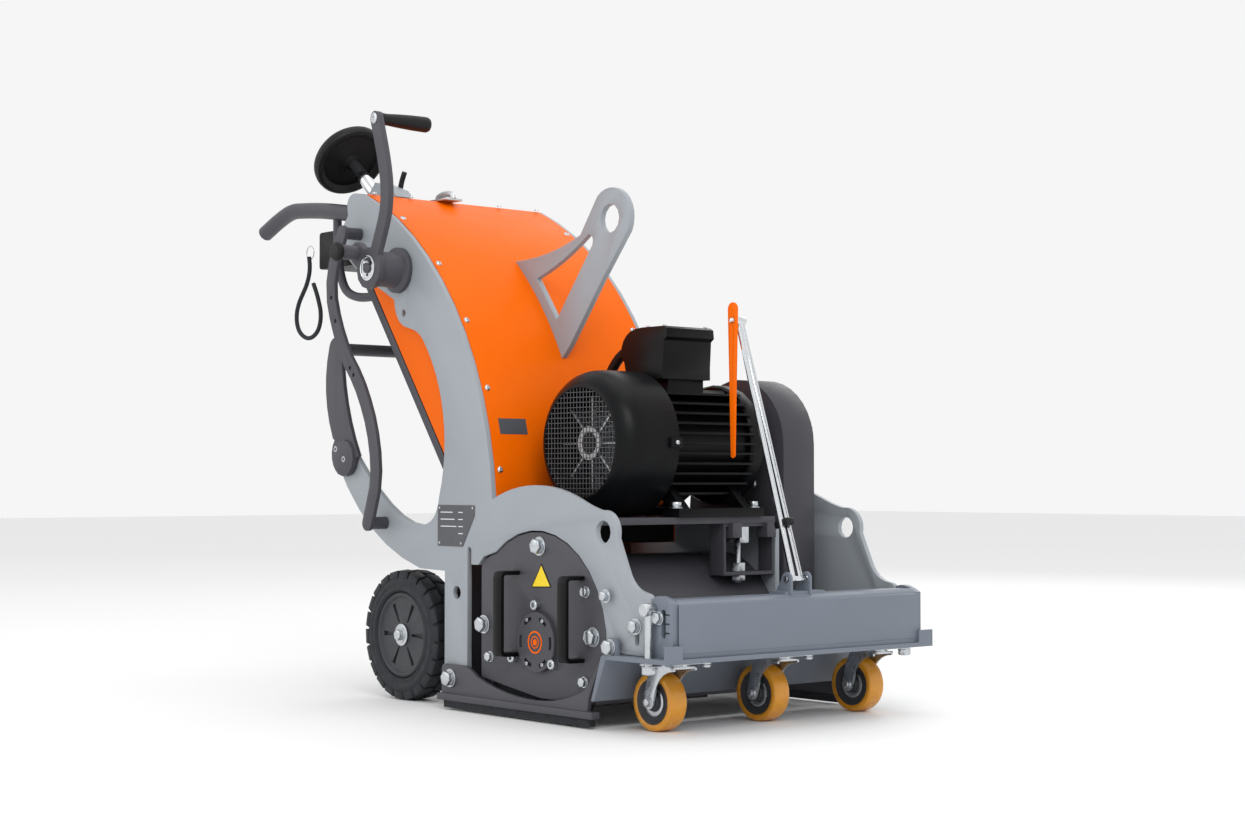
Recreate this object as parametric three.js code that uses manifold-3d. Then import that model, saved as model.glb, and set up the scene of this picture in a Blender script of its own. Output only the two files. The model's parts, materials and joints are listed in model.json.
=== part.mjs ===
// Walk-behind floor milling machine, modelled in millimetres.
// +X is forwards, +Y is the drive side, +Z is up and the floor is at z = 0.
// Pieces are drawn in a datum whose x = 0 lies DRUM_BEHIND ahead of the drum shaft and whose y = 0 is the
// middle of the track. The whole machine is moved at the end, so that the middle of its box stands on the
// origin.
import * as THREE from 'three';
import * as BufferGeometryUtils from 'three/addons/utils/BufferGeometryUtils.js';
import Module from 'manifold-3d';

// ---- driving dimensions -------------------------------------------------------------------------------

const GAP = 0.3;                  // between pieces that touch

// frame
const FRAME_WIDTH = 600;          // over the two outer side plates
const PLATE = 10;                 // side plate thickness
const HOOD_WIDTH = 450;           // over the near and the inner side plate
const NEAR_OUTER = -FRAME_WIDTH / 2;
const HOOD_FAR = NEAR_OUTER + HOOD_WIDTH;
const PLATE_FRONT = 257;          // front edge of the outer side plates
const PLATE_REAR = -326;          // rear edge of the legs
const LEG_WIDTH = 71;
const PLATE_FOOT = 131;           // underside of the plates ahead of the drum
const LEG_FOOT = 32;
const ARCH_TOP = 413;             // crest of the plates above the drum
const ARCH_RADIUS = 325;
const ARCH_CENTRE = -53;
const EYE_X = 134;                // lifting eye at the front of each outer plate
const EYE_Z = 334;
const EYE_RADIUS = 19;
const EYE_BOSS = 37;
const OPENING_RADIUS = 194;       // drum opening in the near plate
const OPENING_X = -50;
const OPENING_Z = 140;

// hood
const HOOD_TOP = 987;
const HOOD_BACK = -610;           // where the front arc of the arm meets its top
const ARM_ROOT = -180;            // where the arm rises out of the arch
const ARM_RADIUS = 702;
const SHEET = 3;
const PAN_DEPTH = 17;             // folded edge of the back panel

// drum
const DRUM_BEHIND = 45;
const DRUM_Z = 138;
const DRUM_RADIUS = 125;          // over the cutter tips
const DRUM_LENGTH = HOOD_WIDTH - 115;
const DRUM_TUBE = 45;
const HOUSING_CLEARANCE = 20;     // cutter tips to the chamber
const HOUSING_WALL = 5;
const SHAFT_RADIUS = 20;

// motor
const MOTOR_X = -22;
const MOTOR_Z = 488;
const FOOT_HEIGHT = 132;          // shaft to the sole of the feet
const MOTOR_BODY = 118;           // radius over the fins
const MOTOR_CORE = 100;
const MOTOR_NEAR = NEAR_OUTER + 179;  // near end of the finned body
const MOTOR_FAR = HOOD_FAR - 46;
const COWL_RADIUS = 131;
const COWL_LENGTH = 105;
const MOTOR_SHAFT = 19;
const BASE_THICKNESS = 12;

// belt drive
const GUARD_NEAR = HOOD_FAR + 10;
const GUARD_FAR = GUARD_NEAR + 80;
const GUARD_RADIUS = 124;
const GUARD_WALL = 4;
const MOTOR_PULLEY = 56;          // pitch radii
const DRUM_PULLEY = 84;
const BELT_WIDTH = 44;
const BELT_THICKNESS = 9;

// wheels and castors
const WHEEL_RADIUS = 125;
const WHEEL_WIDTH = 60;
const WHEEL_X = -496;
const WHEEL_OUTSET = FRAME_WIDTH / 2 - 15;   // outer faces of the rear wheels from the middle
const SWING_X = -352;             // axle swing pivot
const SWING_Z = 205;
const AXLE_RADIUS = 15;
const CASTOR_RADIUS = 50;
const CASTOR_WIDTH = 38;
const CASTOR_X = 241;             // swivel axis
const CASTOR_TRAIL = 38;
const CASTOR_PITCH = 240.5;
const CASTOR_SHIFT = 7.5;         // middle castor from the middle of the track

// castor carriage
const BEAM_FRONT = 314;
const BEAM_BOTTOM = 130.3;
const BEAM_FACE_TOP = 216;
const BEAM_TOP = 226;
const BEAM_WALL = 4;
const BEAM_BACK = 262;
const DECK_TOP = 130;
const DECK_THICKNESS = 8;
const DECK_OUTSET = FRAME_WIDTH / 2 + 22;
const DECK_BEND = 166;            // where the deck turns down into its apron
const APRON_FOOT_X = 136;
const APRON_FOOT_Z = 50;
const PIVOT_X = 172;
const PIVOT_Z = 143;
const PIVOT_BOLT = 6;
const EYEBOLT_X = 262;
const EYEBOLT_Z = 209;
const EYEBOLT_RADIUS = 7;

// handles and levers
const BAR_RADIUS = 16.5;
const BAR_Y = NEAR_OUTER + 50;
const FAR_BAR_Y = HOOD_FAR - 50;
const CRANK_X = -478;
const CRANK_Z = 825;
const CRANK_FACE = NEAR_OUTER - 72;   // outer face of the crank
const CRANK_THICKNESS = 12;
const GRIP_LENGTH = 112;
const GRIP_RADIUS = 15;
const INDEX_Y = NEAR_OUTER - 40;  // middle of the index bar
const INDEX_THICKNESS = 8;
const INDEX_WIDTH = 30;
const HANDWHEEL_RADIUS = 80;
const HANDWHEEL_THICKNESS = 25;
const COLUMN_RADIUS = 14;
const COLUMN_TILT = 50.5;         // degrees from the vertical, leaning back
const COLUMN_Y = NEAR_OUTER + 107;
const CORD_DIAMETER = 9;

// direction pointer
const POINTER_X = 295;
const POINTER_Z = 252;
const POINTER_LENGTH = 476;
const POINTER_LEAN = 17.4;        // degrees behind the vertical when it is put away
const BLADE_LENGTH = 277;
const BLADE_ABOVE = 32;           // blade above its pivot

// ---- places worked out from them ----------------------------------------------------------------------

const NEAR_INNER = NEAR_OUTER + PLATE;
const FAR_OUTER = FRAME_WIDTH / 2;
const FAR_INNER = FAR_OUTER - PLATE;
const HOOD_INNER = HOOD_FAR - PLATE;
const HOOD_MIDDLE = (NEAR_OUTER + HOOD_FAR) / 2;
const BAY_NEAR = NEAR_INNER + GAP;
const BAY_FAR = HOOD_INNER - GAP;
const DRUM_X = -DRUM_BEHIND;
const ARCH_CENTRE_Z = ARCH_TOP - ARCH_RADIUS;
const SEAT_Z = MOTOR_Z - FOOT_HEIGHT;
const HOUSING_INNER = DRUM_RADIUS + HOUSING_CLEARANCE;
const HOUSING_OUTER = HOUSING_INNER + HOUSING_WALL;
const PULLEY_MIDDLE = (GUARD_NEAR + GUARD_FAR) / 2;
const DEGREE = Math.PI / 180;
const CURVE_STEPS = 6;            // straight pieces in a short curve, twice as many in an arc
const LONG_CURVE_STEPS = 14;

// ---- small helpers ------------------------------------------------------------------------------------

const wasm = await Module();
wasm.setup();

function toSolid(geometry) {
  const bare = geometry.clone();
  bare.deleteAttribute('normal');
  bare.deleteAttribute('uv');
  const merged = BufferGeometryUtils.mergeVertices(bare, 1e-3);
  const corners = merged.index.array;
  const faces = [];
  for (let index = 0; index < corners.length; index += 3) {
    const [a, b, c] = corners.subarray(index, index + 3);
    if (a !== b && b !== c && c !== a) faces.push(a, b, c);
  }
  const mesh = new wasm.Mesh({
    numProp: 3,
    vertProperties: new Float32Array(merged.attributes.position.array),
    triVerts: new Uint32Array(faces),
  });
  return new wasm.Manifold(mesh);
}

function toGeometry(solid) {
  const mesh = solid.getMesh();
  const geometry = new THREE.BufferGeometry();
  geometry.setAttribute('position', new THREE.BufferAttribute(mesh.vertProperties, 3));
  geometry.setIndex(new THREE.BufferAttribute(mesh.triVerts, 1));
  geometry.computeVertexNormals();
  return geometry;
}

function join(...pieces) {
  return toGeometry(pieces.map(toSolid).reduce((whole, piece) => whole.add(piece)));
}

function cut(body, ...tools) {
  return toGeometry(tools.map(toSolid).reduce((left, tool) => left.subtract(tool), toSolid(body)));
}

const at = (x, y, z) => new THREE.Vector3(x, y, z);

function box(x0, x1, y0, y1, z0, z1) {
  const geometry = new THREE.BoxGeometry(x1 - x0, y1 - y0, z1 - z0);
  return geometry.translate((x0 + x1) / 2, (y0 + y1) / 2, (z0 + z1) / 2);
}

// A shape drawn in x and z, given thickness along Y.
function acrossY(shape, y0, y1, curveSegments = CURVE_STEPS) {
  const geometry = new THREE.ExtrudeGeometry(shape, { depth: y1 - y0, bevelEnabled: false, curveSegments });
  return geometry.rotateX(Math.PI / 2).translate(0, y1, 0);
}

// A shape drawn in y and z, given thickness along X.
function acrossX(shape, x0, x1, curveSegments = CURVE_STEPS) {
  const geometry = new THREE.ExtrudeGeometry(shape, { depth: x1 - x0, bevelEnabled: false, curveSegments });
  const turn = new THREE.Matrix4().makeBasis(at(0, 1, 0), at(0, 0, 1), at(1, 0, 0));
  return geometry.applyMatrix4(turn).translate(x0, 0, 0);
}

// A round bar between two points.
function bar(radius, from, to, sides = 14) {
  const geometry = new THREE.CylinderGeometry(radius, radius, from.distanceTo(to), sides);
  const turn = new THREE.Quaternion().setFromUnitVectors(at(0, 1, 0), to.clone().sub(from).normalize());
  return geometry.applyQuaternion(turn).translate(...from.clone().add(to).multiplyScalar(0.5).toArray());
}

// A turned piece: its profile is a list of [radius, distance along the axis] from a point.
function turned(profile, from, direction, sides = 24) {
  const points = profile.map(([radius, along]) => new THREE.Vector2(radius, along));
  if (THREE.ShapeUtils.area(points) < 0) points.reverse();
  const geometry = new THREE.LatheGeometry(points, sides);
  const turn = new THREE.Quaternion().setFromUnitVectors(at(0, 1, 0), direction.clone().normalize());
  return geometry.applyQuaternion(turn).translate(from.x, from.y, from.z);
}

// A round ring section swept along a smooth curve through points.
function bent(radius, points, steps, sides = 10, tension = 0.5) {
  const section = new THREE.Shape();
  section.absarc(0, 0, radius, 0, 2 * Math.PI, false);
  const path = new THREE.CatmullRomCurve3(points, false, 'catmullrom', tension);
  return new THREE.ExtrudeGeometry(section, { steps, extrudePath: path, curveSegments: sides });
}

// A round hole whose flats, not its corners, lie on the radius.
function round(x, z, radius) {
  const path = new THREE.Path();
  path.absarc(x, z, radius / Math.cos(Math.PI / 2 / CURVE_STEPS), 0, 2 * Math.PI, true);
  return path;
}

function disc(x, z, radius) {
  const shape = new THREE.Shape();
  shape.absarc(x, z, radius, 0, 2 * Math.PI, false);
  return shape;
}

// A slot with round ends between two centres, as a hole or as a strap.
function slotPath(path, ax, az, bx, bz, radius) {
  const angle = Math.atan2(bz - az, bx - ax);
  path.absarc(ax, az, radius, angle + Math.PI / 2, angle + 1.5 * Math.PI, false);
  path.absarc(bx, bz, radius, angle - Math.PI / 2, angle + Math.PI / 2, false);
  path.closePath();
  return path;
}

const slot = (...sizes) => slotPath(new THREE.Path(), ...sizes);
const strap = (...sizes) => slotPath(new THREE.Shape(), ...sizes);

// The centre of the circle of a given radius through two points, on the left of the way from a to b.
function centreLeft(ax, az, bx, bz, radius) {
  const half = Math.hypot(bx - ax, bz - az) / 2;
  const rise = Math.sqrt(radius * radius - half * half);
  return [(ax + bx) / 2 - (bz - az) / 2 / half * rise, (az + bz) / 2 + (bx - ax) / 2 / half * rise];
}

// A strap of even width along a smooth curve in x and z.
function ribbon(points, width, steps) {
  const path = new THREE.CatmullRomCurve3(points.map(([x, z]) => at(x, 0, z)));
  const left = [];
  const right = [];
  for (let step = 0; step <= steps; step += 1) {
    const point = path.getPointAt(step / steps);
    const along = path.getTangentAt(step / steps);
    left.push(new THREE.Vector2(point.x - along.z * width / 2, point.z + along.x * width / 2));
    right.unshift(new THREE.Vector2(point.x + along.z * width / 2, point.z - along.x * width / 2));
  }
  return new THREE.Shape([...left, ...right]);
}

const machine = new THREE.Group();

function add(name, geometry, finish) {
  const mesh = new THREE.Mesh(geometry, new THREE.MeshStandardMaterial(finish));
  mesh.name = name;
  machine.add(mesh);
}

// ---- finishes -----------------------------------------------------------------------------------------

const LIGHT_GREY = { color: '#aab0b6', roughness: 0.45, metalness: 0.1 };
const GRAPHITE = { color: '#55565b', roughness: 0.5, metalness: 0.1 };
const BEAM_GREY = { color: '#70777e', roughness: 0.5, metalness: 0.1 };
const ORANGE = { color: '#ff6d0a', roughness: 0.4, metalness: 0 };
const BLACK = { color: '#1c1c1e', roughness: 0.45, metalness: 0.1 };
const RUBBER = { color: '#2c2c2e', roughness: 0.8, metalness: 0 };
const ZINC = { color: '#c9ccd0', roughness: 0.3, metalness: 1 };
const CHROME = { color: '#dfe1e4', roughness: 0.12, metalness: 1 };
const AMBER = { color: '#d99a35', roughness: 0.35, metalness: 0 };
const STEEL = { color: '#8b8d90', roughness: 0.4, metalness: 1 };
const RED = { color: '#c0161a', roughness: 0.4, metalness: 0 };

// ---- side plates --------------------------------------------------------------------------------------

const ARM_ROOT_Z = ARCH_CENTRE_Z + Math.sqrt(ARCH_RADIUS ** 2 - (ARM_ROOT - ARCH_CENTRE) ** 2);
const [ARM_X, ARM_Z] = centreLeft(ARM_ROOT, ARM_ROOT_Z, HOOD_BACK, HOOD_TOP, ARM_RADIUS);
const armAngle = (x, z) => Math.atan2(z - ARM_Z, x - ARM_X);
const archAngle = (x) => Math.acos((x - ARCH_CENTRE) / ARCH_RADIUS);

const TAIL_X = -668;              // bolt boss at the end of the tail
const TAIL_Z = 470;
const TAIL_BOSS = 30;
const NECK_X = -345;              // the narrowest place of the arm, at its rear
const NECK_Z = 392;
const SHOULDER_X = -397;          // where the rear arc of the arm starts
const SHOULDER_Z = 684;
const ARM_REAR_RADIUS = 304;
const LEG_FRONT = PLATE_REAR + LEG_WIDTH;
const TAIL_ROOT_Z = 254;

// From the foot of the plate's front edge up over the eye and the arch.
function frontEdge(shape) {
  shape.moveTo(PLATE_FRONT, PLATE_FOOT);
  shape.lineTo(PLATE_FRONT, 222);
  shape.quadraticCurveTo(PLATE_FRONT, 234, 242, 235);
  shape.quadraticCurveTo(207, 240, 193, 275);
  shape.lineTo(EYE_X + EYE_BOSS - 1, EYE_Z - 10);
  shape.absarc(EYE_X, EYE_Z, EYE_BOSS, -0.1, 1.75, false);
  shape.quadraticCurveTo(100, 376, ARCH_CENTRE + 125, ARCH_CENTRE_Z + Math.sqrt(ARCH_RADIUS ** 2 - 125 ** 2));
}

// The arm, its head under the handlebar, the rear arc, and the tail back to the leg.
function armAndTail(shape) {
  shape.absarc(ARM_X, ARM_Z, ARM_RADIUS, armAngle(ARM_ROOT, ARM_ROOT_Z), armAngle(HOOD_BACK, HOOD_TOP),
    false);
  shape.lineTo(HOOD_BACK - 28, HOOD_TOP + 4);
  shape.quadraticCurveTo(HOOD_BACK - 50, HOOD_TOP + 2, HOOD_BACK - 54, HOOD_TOP - 15);
  shape.lineTo(HOOD_BACK - 51, HOOD_TOP - 39);
  shape.lineTo(HOOD_BACK - 76, HOOD_TOP - 65);
  shape.quadraticCurveTo(HOOD_BACK - 82, HOOD_TOP - 90, HOOD_BACK - 61, HOOD_TOP - 116);
  shape.lineTo(HOOD_BACK - 13, HOOD_TOP - 154);
  shape.lineTo(-497, 770);
  shape.quadraticCurveTo(-492, 720, -449, 713);
  shape.quadraticCurveTo(-412, 706, SHOULDER_X, SHOULDER_Z);
  const [x, z] = centreLeft(NECK_X, NECK_Z, SHOULDER_X, SHOULDER_Z, ARM_REAR_RADIUS);
  shape.absarc(x, z, ARM_REAR_RADIUS, Math.atan2(SHOULDER_Z - z, SHOULDER_X - x),
    Math.atan2(NECK_Z - z, NECK_X - x), true);
  shape.quadraticCurveTo(NECK_X - 8, 340, -400, 338);
  shape.quadraticCurveTo(-500, 338, TAIL_X + 20, TAIL_Z + 22);
  shape.absarc(TAIL_X, TAIL_Z, TAIL_BOSS, 0.85, 3.6, false);
  shape.quadraticCurveTo(-590, 300, -406, TAIL_ROOT_Z + 2);
  shape.lineTo(PLATE_REAR, TAIL_ROOT_Z);
}

// The rear leg, and the drum opening between it and the front foot.
function legAndOpening(shape) {
  const start = 128 * DEGREE;
  const end = Math.asin((PLATE_FOOT - OPENING_Z) / OPENING_RADIUS);
  shape.lineTo(PLATE_REAR, LEG_FOOT);
  shape.lineTo(LEG_FRONT, LEG_FOOT);
  shape.lineTo(LEG_FRONT, 294);
  shape.absarc(LEG_FRONT + 6, 294, 6, Math.PI, 0, true);
  shape.lineTo(LEG_FRONT + 12, 268);
  shape.lineTo(LEG_FRONT + 33, 268);
  shape.lineTo(LEG_FRONT + 50, 284);
  shape.absarc(OPENING_X, OPENING_Z, OPENING_RADIUS, start, end, true);
}

const arch = (shape, fromX, toX) => shape.absarc(ARCH_CENTRE, ARCH_CENTRE_Z, ARCH_RADIUS,
  archAngle(fromX), archAngle(toX), false);

function plateHoles() {
  return [
    round(EYE_X, EYE_Z, EYE_RADIUS),
    round(PIVOT_X, PIVOT_Z, PIVOT_BOLT + GAP),
    slot(222, 152, 222, 182, 5.5),
    round(-288, 215, 12),
  ];
}

const nearShape = new THREE.Shape();
frontEdge(nearShape);
arch(nearShape, ARCH_CENTRE + 125, ARM_ROOT);
armAndTail(nearShape);
legAndOpening(nearShape);
nearShape.holes.push(...plateHoles(), round(-465, 742, 7));
add('side_plate_near', acrossY(nearShape, NEAR_OUTER, NEAR_INNER), LIGHT_GREY);

// The inner plate carries the drive-side bearing and stops short of the front.
const INNER_FRONT = 100;
const BEARING_BORE = 42;
const innerShape = new THREE.Shape();
innerShape.moveTo(INNER_FRONT, 40);
innerShape.lineTo(INNER_FRONT, SEAT_Z - BASE_THICKNESS - GAP);
innerShape.lineTo(ARCH_CENTRE + 125, SEAT_Z - BASE_THICKNESS - GAP);
innerShape.lineTo(ARM_ROOT, SEAT_Z - BASE_THICKNESS - GAP);
innerShape.lineTo(ARM_ROOT, ARM_ROOT_Z);
armAndTail(innerShape);
innerShape.lineTo(PLATE_REAR, LEG_FOOT);
innerShape.lineTo(-240, 40);
innerShape.holes.push(round(DRUM_X, DRUM_Z, BEARING_BORE), round(-465, 742, 7));
add('side_plate_inner', acrossY(innerShape, HOOD_INNER, HOOD_FAR), LIGHT_GREY);

// The far plate is the near plate without its arm, tail and drum opening.
const farShape = new THREE.Shape();
frontEdge(farShape);
arch(farShape, ARCH_CENTRE + 125, ARM_ROOT);
farShape.quadraticCurveTo(-300, 350, PLATE_REAR, 290);
farShape.lineTo(PLATE_REAR, LEG_FOOT);
farShape.lineTo(LEG_FRONT, LEG_FOOT);
farShape.lineTo(LEG_FRONT + 20, 50);
farShape.lineTo(100, 50);
farShape.lineTo(144, PLATE_FOOT);
farShape.holes.push(...plateHoles());
add('side_plate_far', acrossY(farShape, FAR_INNER, FAR_OUTER), LIGHT_GREY);

// ---- drum chamber -------------------------------------------------------------------------------------

const CHAMBER_FOOT = 40;
const REAR_WALL = 8;

const SHELF = 8;
const WALL_BACK = PLATE_REAR + 10;
const WALL_TOP = 330;

// The arch over the drum, its shelf and the rear wall are one folded sheet.
function chamberShape() {
  const shape = new THREE.Shape();
  const foot = CHAMBER_FOOT + 5;
  shape.moveTo(WALL_BACK, foot);
  shape.lineTo(WALL_BACK, WALL_TOP);
  shape.lineTo(WALL_BACK + REAR_WALL, WALL_TOP);
  shape.lineTo(WALL_BACK + REAR_WALL, foot + SHELF);
  shape.lineTo(DRUM_X - HOUSING_OUTER, foot + SHELF);
  shape.absarc(DRUM_X, DRUM_Z, HOUSING_OUTER, Math.PI, 0, true);
  shape.lineTo(DRUM_X + HOUSING_OUTER, CHAMBER_FOOT);
  shape.lineTo(DRUM_X + HOUSING_INNER, CHAMBER_FOOT);
  shape.absarc(DRUM_X, DRUM_Z, HOUSING_INNER, 0, Math.PI, false);
  shape.lineTo(DRUM_X - HOUSING_INNER, foot);
  return shape;
}

// The axle swings in two lugs welded to the rear wall.
const lugHeight = 40;
const lugs = [NEAR_OUTER + 145, HOOD_FAR - 32].map((y) => {
  const lug = new THREE.Shape();
  lug.moveTo(PLATE_REAR + 13, SWING_Z - lugHeight / 2);
  lug.lineTo(PLATE_REAR + 13, SWING_Z + lugHeight / 2);
  lug.lineTo(SWING_X, SWING_Z + lugHeight / 2);
  lug.absarc(SWING_X, SWING_Z, lugHeight / 2, Math.PI / 2, 1.5 * Math.PI, false);
  lug.holes.push(round(SWING_X, SWING_Z, AXLE_RADIUS + GAP));
  return acrossY(lug, y, y + PLATE);
});
const chamber = acrossY(chamberShape(), BAY_NEAR, BAY_FAR, LONG_CURVE_STEPS);
add('drum_housing', join(chamber, ...lugs), GRAPHITE);

// The removable cover that closes the near end of the chamber.
const COVER_INSET = 2;
const COVER_THICKNESS = PLATE - COVER_INSET;
const COVER_LEFT = -214;
const coverFace = NEAR_OUTER + COVER_INSET;
const coverShape = new THREE.Shape();
const coverRadius = OPENING_RADIUS - 3;
coverShape.moveTo(COVER_LEFT, 66);
coverShape.lineTo(-150, 56);
coverShape.lineTo(-40, 40);
coverShape.lineTo(96, 40);
coverShape.lineTo(130, 77);
coverShape.lineTo(OPENING_X + coverRadius, OPENING_Z - 32);
coverShape.absarc(OPENING_X, OPENING_Z, coverRadius, 0, 128 * DEGREE, false);
coverShape.quadraticCurveTo(COVER_LEFT, 280, COVER_LEFT, 262);
coverShape.holes.push(round(DRUM_X, DRUM_Z, BEARING_BORE + GAP));
add('drum_cover', acrossY(coverShape, coverFace, coverFace + COVER_THICKNESS), GRAPHITE);

// Two grab handles folded from flat bar.
const HANDLE_STANDOFF = 42;
const HANDLE_BAR = 7;
function grabHandle(x, width, low, high) {
  const outer = new THREE.Shape();
  const face = coverFace - GAP;
  const front = face - HANDLE_STANDOFF;
  const corner = 12;
  outer.moveTo(face, low);
  outer.lineTo(front + corner, low);
  outer.quadraticCurveTo(front, low, front, low + corner);
  outer.lineTo(front, high - corner);
  outer.quadraticCurveTo(front, high, front + corner, high);
  outer.lineTo(face, high);
  outer.lineTo(face, high - HANDLE_BAR);
  outer.lineTo(front + corner, high - HANDLE_BAR);
  outer.quadraticCurveTo(front + HANDLE_BAR, high - HANDLE_BAR, front + HANDLE_BAR, high - corner);
  outer.lineTo(front + HANDLE_BAR, low + corner);
  outer.quadraticCurveTo(front + HANDLE_BAR, low + HANDLE_BAR, front + corner, low + HANDLE_BAR);
  outer.lineTo(face, low + HANDLE_BAR);
  return acrossX(outer, x, x + width, 4);
}
add('cover_handle_rear', grabHandle(-123, 24, 110, 261), BLACK);
add('cover_handle_front', grabHandle(59, 24, 110, 258), BLACK);

// Flanged bearing units. The near one is capped, the far one lets the shaft through to its pulley.
const CAP_RADIUS = 53;
const CAP_THICKNESS = 8;
const SPIGOT = 16;
const SPIGOT_RADIUS = BEARING_BORE - 1;
const SHAFT_BORE = SHAFT_RADIUS + 0.6;
const nearBearing = [
  [0, 6], [SHAFT_BORE, 6], [SHAFT_BORE, CAP_THICKNESS + SPIGOT], [SPIGOT_RADIUS, CAP_THICKNESS + SPIGOT],
  [SPIGOT_RADIUS, CAP_THICKNESS], [CAP_RADIUS, CAP_THICKNESS], [CAP_RADIUS, 1.5], [CAP_RADIUS - 1.5, 0],
  [0, 0],
];
const capFace = coverFace - GAP - CAP_THICKNESS;
add('drum_bearing_near', turned(nearBearing, at(DRUM_X, capFace, DRUM_Z), at(0, 1, 0), 24), GRAPHITE);
const farBearing = [
  [SHAFT_BORE, -SPIGOT], [SPIGOT_RADIUS, -SPIGOT], [SPIGOT_RADIUS, 0],
  [CAP_RADIUS, 0], [CAP_RADIUS, CAP_THICKNESS], [SHAFT_BORE, CAP_THICKNESS], [SHAFT_BORE, -SPIGOT],
];
add('drum_bearing_far', turned(farBearing, at(DRUM_X, HOOD_FAR + GAP, DRUM_Z), at(0, 1, 0), 24), GRAPHITE);

// ---- skids, skirt and brush ---------------------------------------------------------------------------

const RAIL_WEB = 7.7;
const RAIL_SOLE = 18;
const RAIL_FLANGE = 12;
const RAIL_FRONT = 125;
function skidRail(side) {
  const web = new THREE.Shape();
  web.moveTo(PLATE_REAR + 2, RAIL_SOLE);
  web.lineTo(100, RAIL_SOLE);
  web.lineTo(105, 52);
  web.lineTo(138, 118);
  web.lineTo(132, 118);
  web.quadraticCurveTo(108, 72, 84, 60);
  web.quadraticCurveTo(30, 38, -40, 37);
  web.quadraticCurveTo(-130, 36, -215, 66);
  web.quadraticCurveTo(-238, 82, -256, 83);
  web.lineTo(PLATE_REAR + 12, 83);
  web.quadraticCurveTo(PLATE_REAR + 2, 83, PLATE_REAR + 2, 72);
  const inner = side * FRAME_WIDTH / 2 + side * GAP;
  const outer = inner + side * RAIL_WEB;
  const lip = outer + side * 10;
  const [webLow, webHigh] = [Math.min(inner, outer), Math.max(inner, outer)];
  const [lipLow, lipHigh] = [Math.min(inner, lip), Math.max(inner, lip)];
  return join(
    acrossY(web, webLow, webHigh),
    box(PLATE_REAR + 1, RAIL_FRONT, lipLow, lipHigh, RAIL_SOLE, RAIL_SOLE + RAIL_FLANGE),
  );
}
add('skid_rail_near', skidRail(-1), GRAPHITE);
add('skid_rail_far', skidRail(1), GRAPHITE);

// A rubber skirt under each skid seals the chamber to the floor.
const SKIRT_FOOT = 4;
const skirtTop = RAIL_SOLE - GAP;
const skirtY = FRAME_WIDTH / 2 + 4;
add('rubber_skirt_near', box(PLATE_REAR + 14, 112, -skirtY - 8, -skirtY + 6, SKIRT_FOOT, skirtTop), RUBBER);
add('rubber_skirt_far', box(PLATE_REAR + 14, 112, skirtY - 6, skirtY + 8, SKIRT_FOOT, skirtTop), RUBBER);
add('dust_brush', box(-175, 90, coverFace + COVER_THICKNESS + GAP, coverFace + 14, 6, 84), BLACK);

// ---- hood ---------------------------------------------------------------------------------------------

const SKIN_LOW = -3 * DEGREE;     // the skin runs a little below the crest of the arch
const backPanel = [[-322, 436], [-567, 771], [-622, 846], [-646, 968]];

function hoodOutline(inset) {
  const shape = new THREE.Shape();
  const radius = ARM_RADIUS - inset;
  shape.absarc(ARM_X, ARM_Z, radius, SKIN_LOW, armAngle(HOOD_BACK, HOOD_TOP), false);
  shape.lineTo(HOOD_BACK - 28, HOOD_TOP + 4 - inset);
  return shape;
}
const skinShape = hoodOutline(0);
skinShape.lineTo(HOOD_BACK - 28, HOOD_TOP + 4 - SHEET);
skinShape.absarc(ARM_X, ARM_Z, ARM_RADIUS - SHEET, armAngle(HOOD_BACK, HOOD_TOP), SKIN_LOW, true);
const sideShape = hoodOutline(SHEET / 2);
[...backPanel].reverse().forEach(([x, z]) => sideShape.lineTo(x + 3, z + 2));
sideShape.lineTo(-322, 400);
sideShape.lineTo(-262, 372);
const EYE_PLATE = 12;
const EYE_SLOT = EYE_PLATE / 2 + 0.6;
const eyeSlot = box(-408, -246, HOOD_MIDDLE - EYE_SLOT, HOOD_MIDDLE + EYE_SLOT, 636, 860);
const hoodShell = cut(join(
  acrossY(skinShape, BAY_NEAR, BAY_FAR, LONG_CURVE_STEPS),
  acrossY(sideShape, BAY_NEAR, BAY_NEAR + SHEET, LONG_CURVE_STEPS),
  acrossY(sideShape, BAY_FAR - SHEET, BAY_FAR, LONG_CURVE_STEPS),
), eyeSlot);
add('hood_shell', hoodShell, ORANGE);

// The back panel is a shallow folded pan between the hood's sides.
function panOutline(front, back) {
  const line = backPanel.map(([x, z]) => [x, z]);
  const shape = new THREE.Shape();
  line.forEach(([x, z], index) => (index ? shape.lineTo(x - front, z) : shape.moveTo(x - front, z)));
  [...line].reverse().forEach(([x, z]) => shape.lineTo(x - back, z));
  return shape;
}
const panSlope = 1.25;            // level thickness of a sloping sheet over its true thickness
const pan = cut(
  acrossY(panOutline(0, PAN_DEPTH * panSlope), BAY_NEAR, BAY_FAR),
  acrossY(panOutline(SHEET * panSlope, PAN_DEPTH * panSlope + 5), BAY_NEAR + SHEET, BAY_FAR - SHEET),
);
add('hood_back_panel', pan, GRAPHITE);

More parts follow.
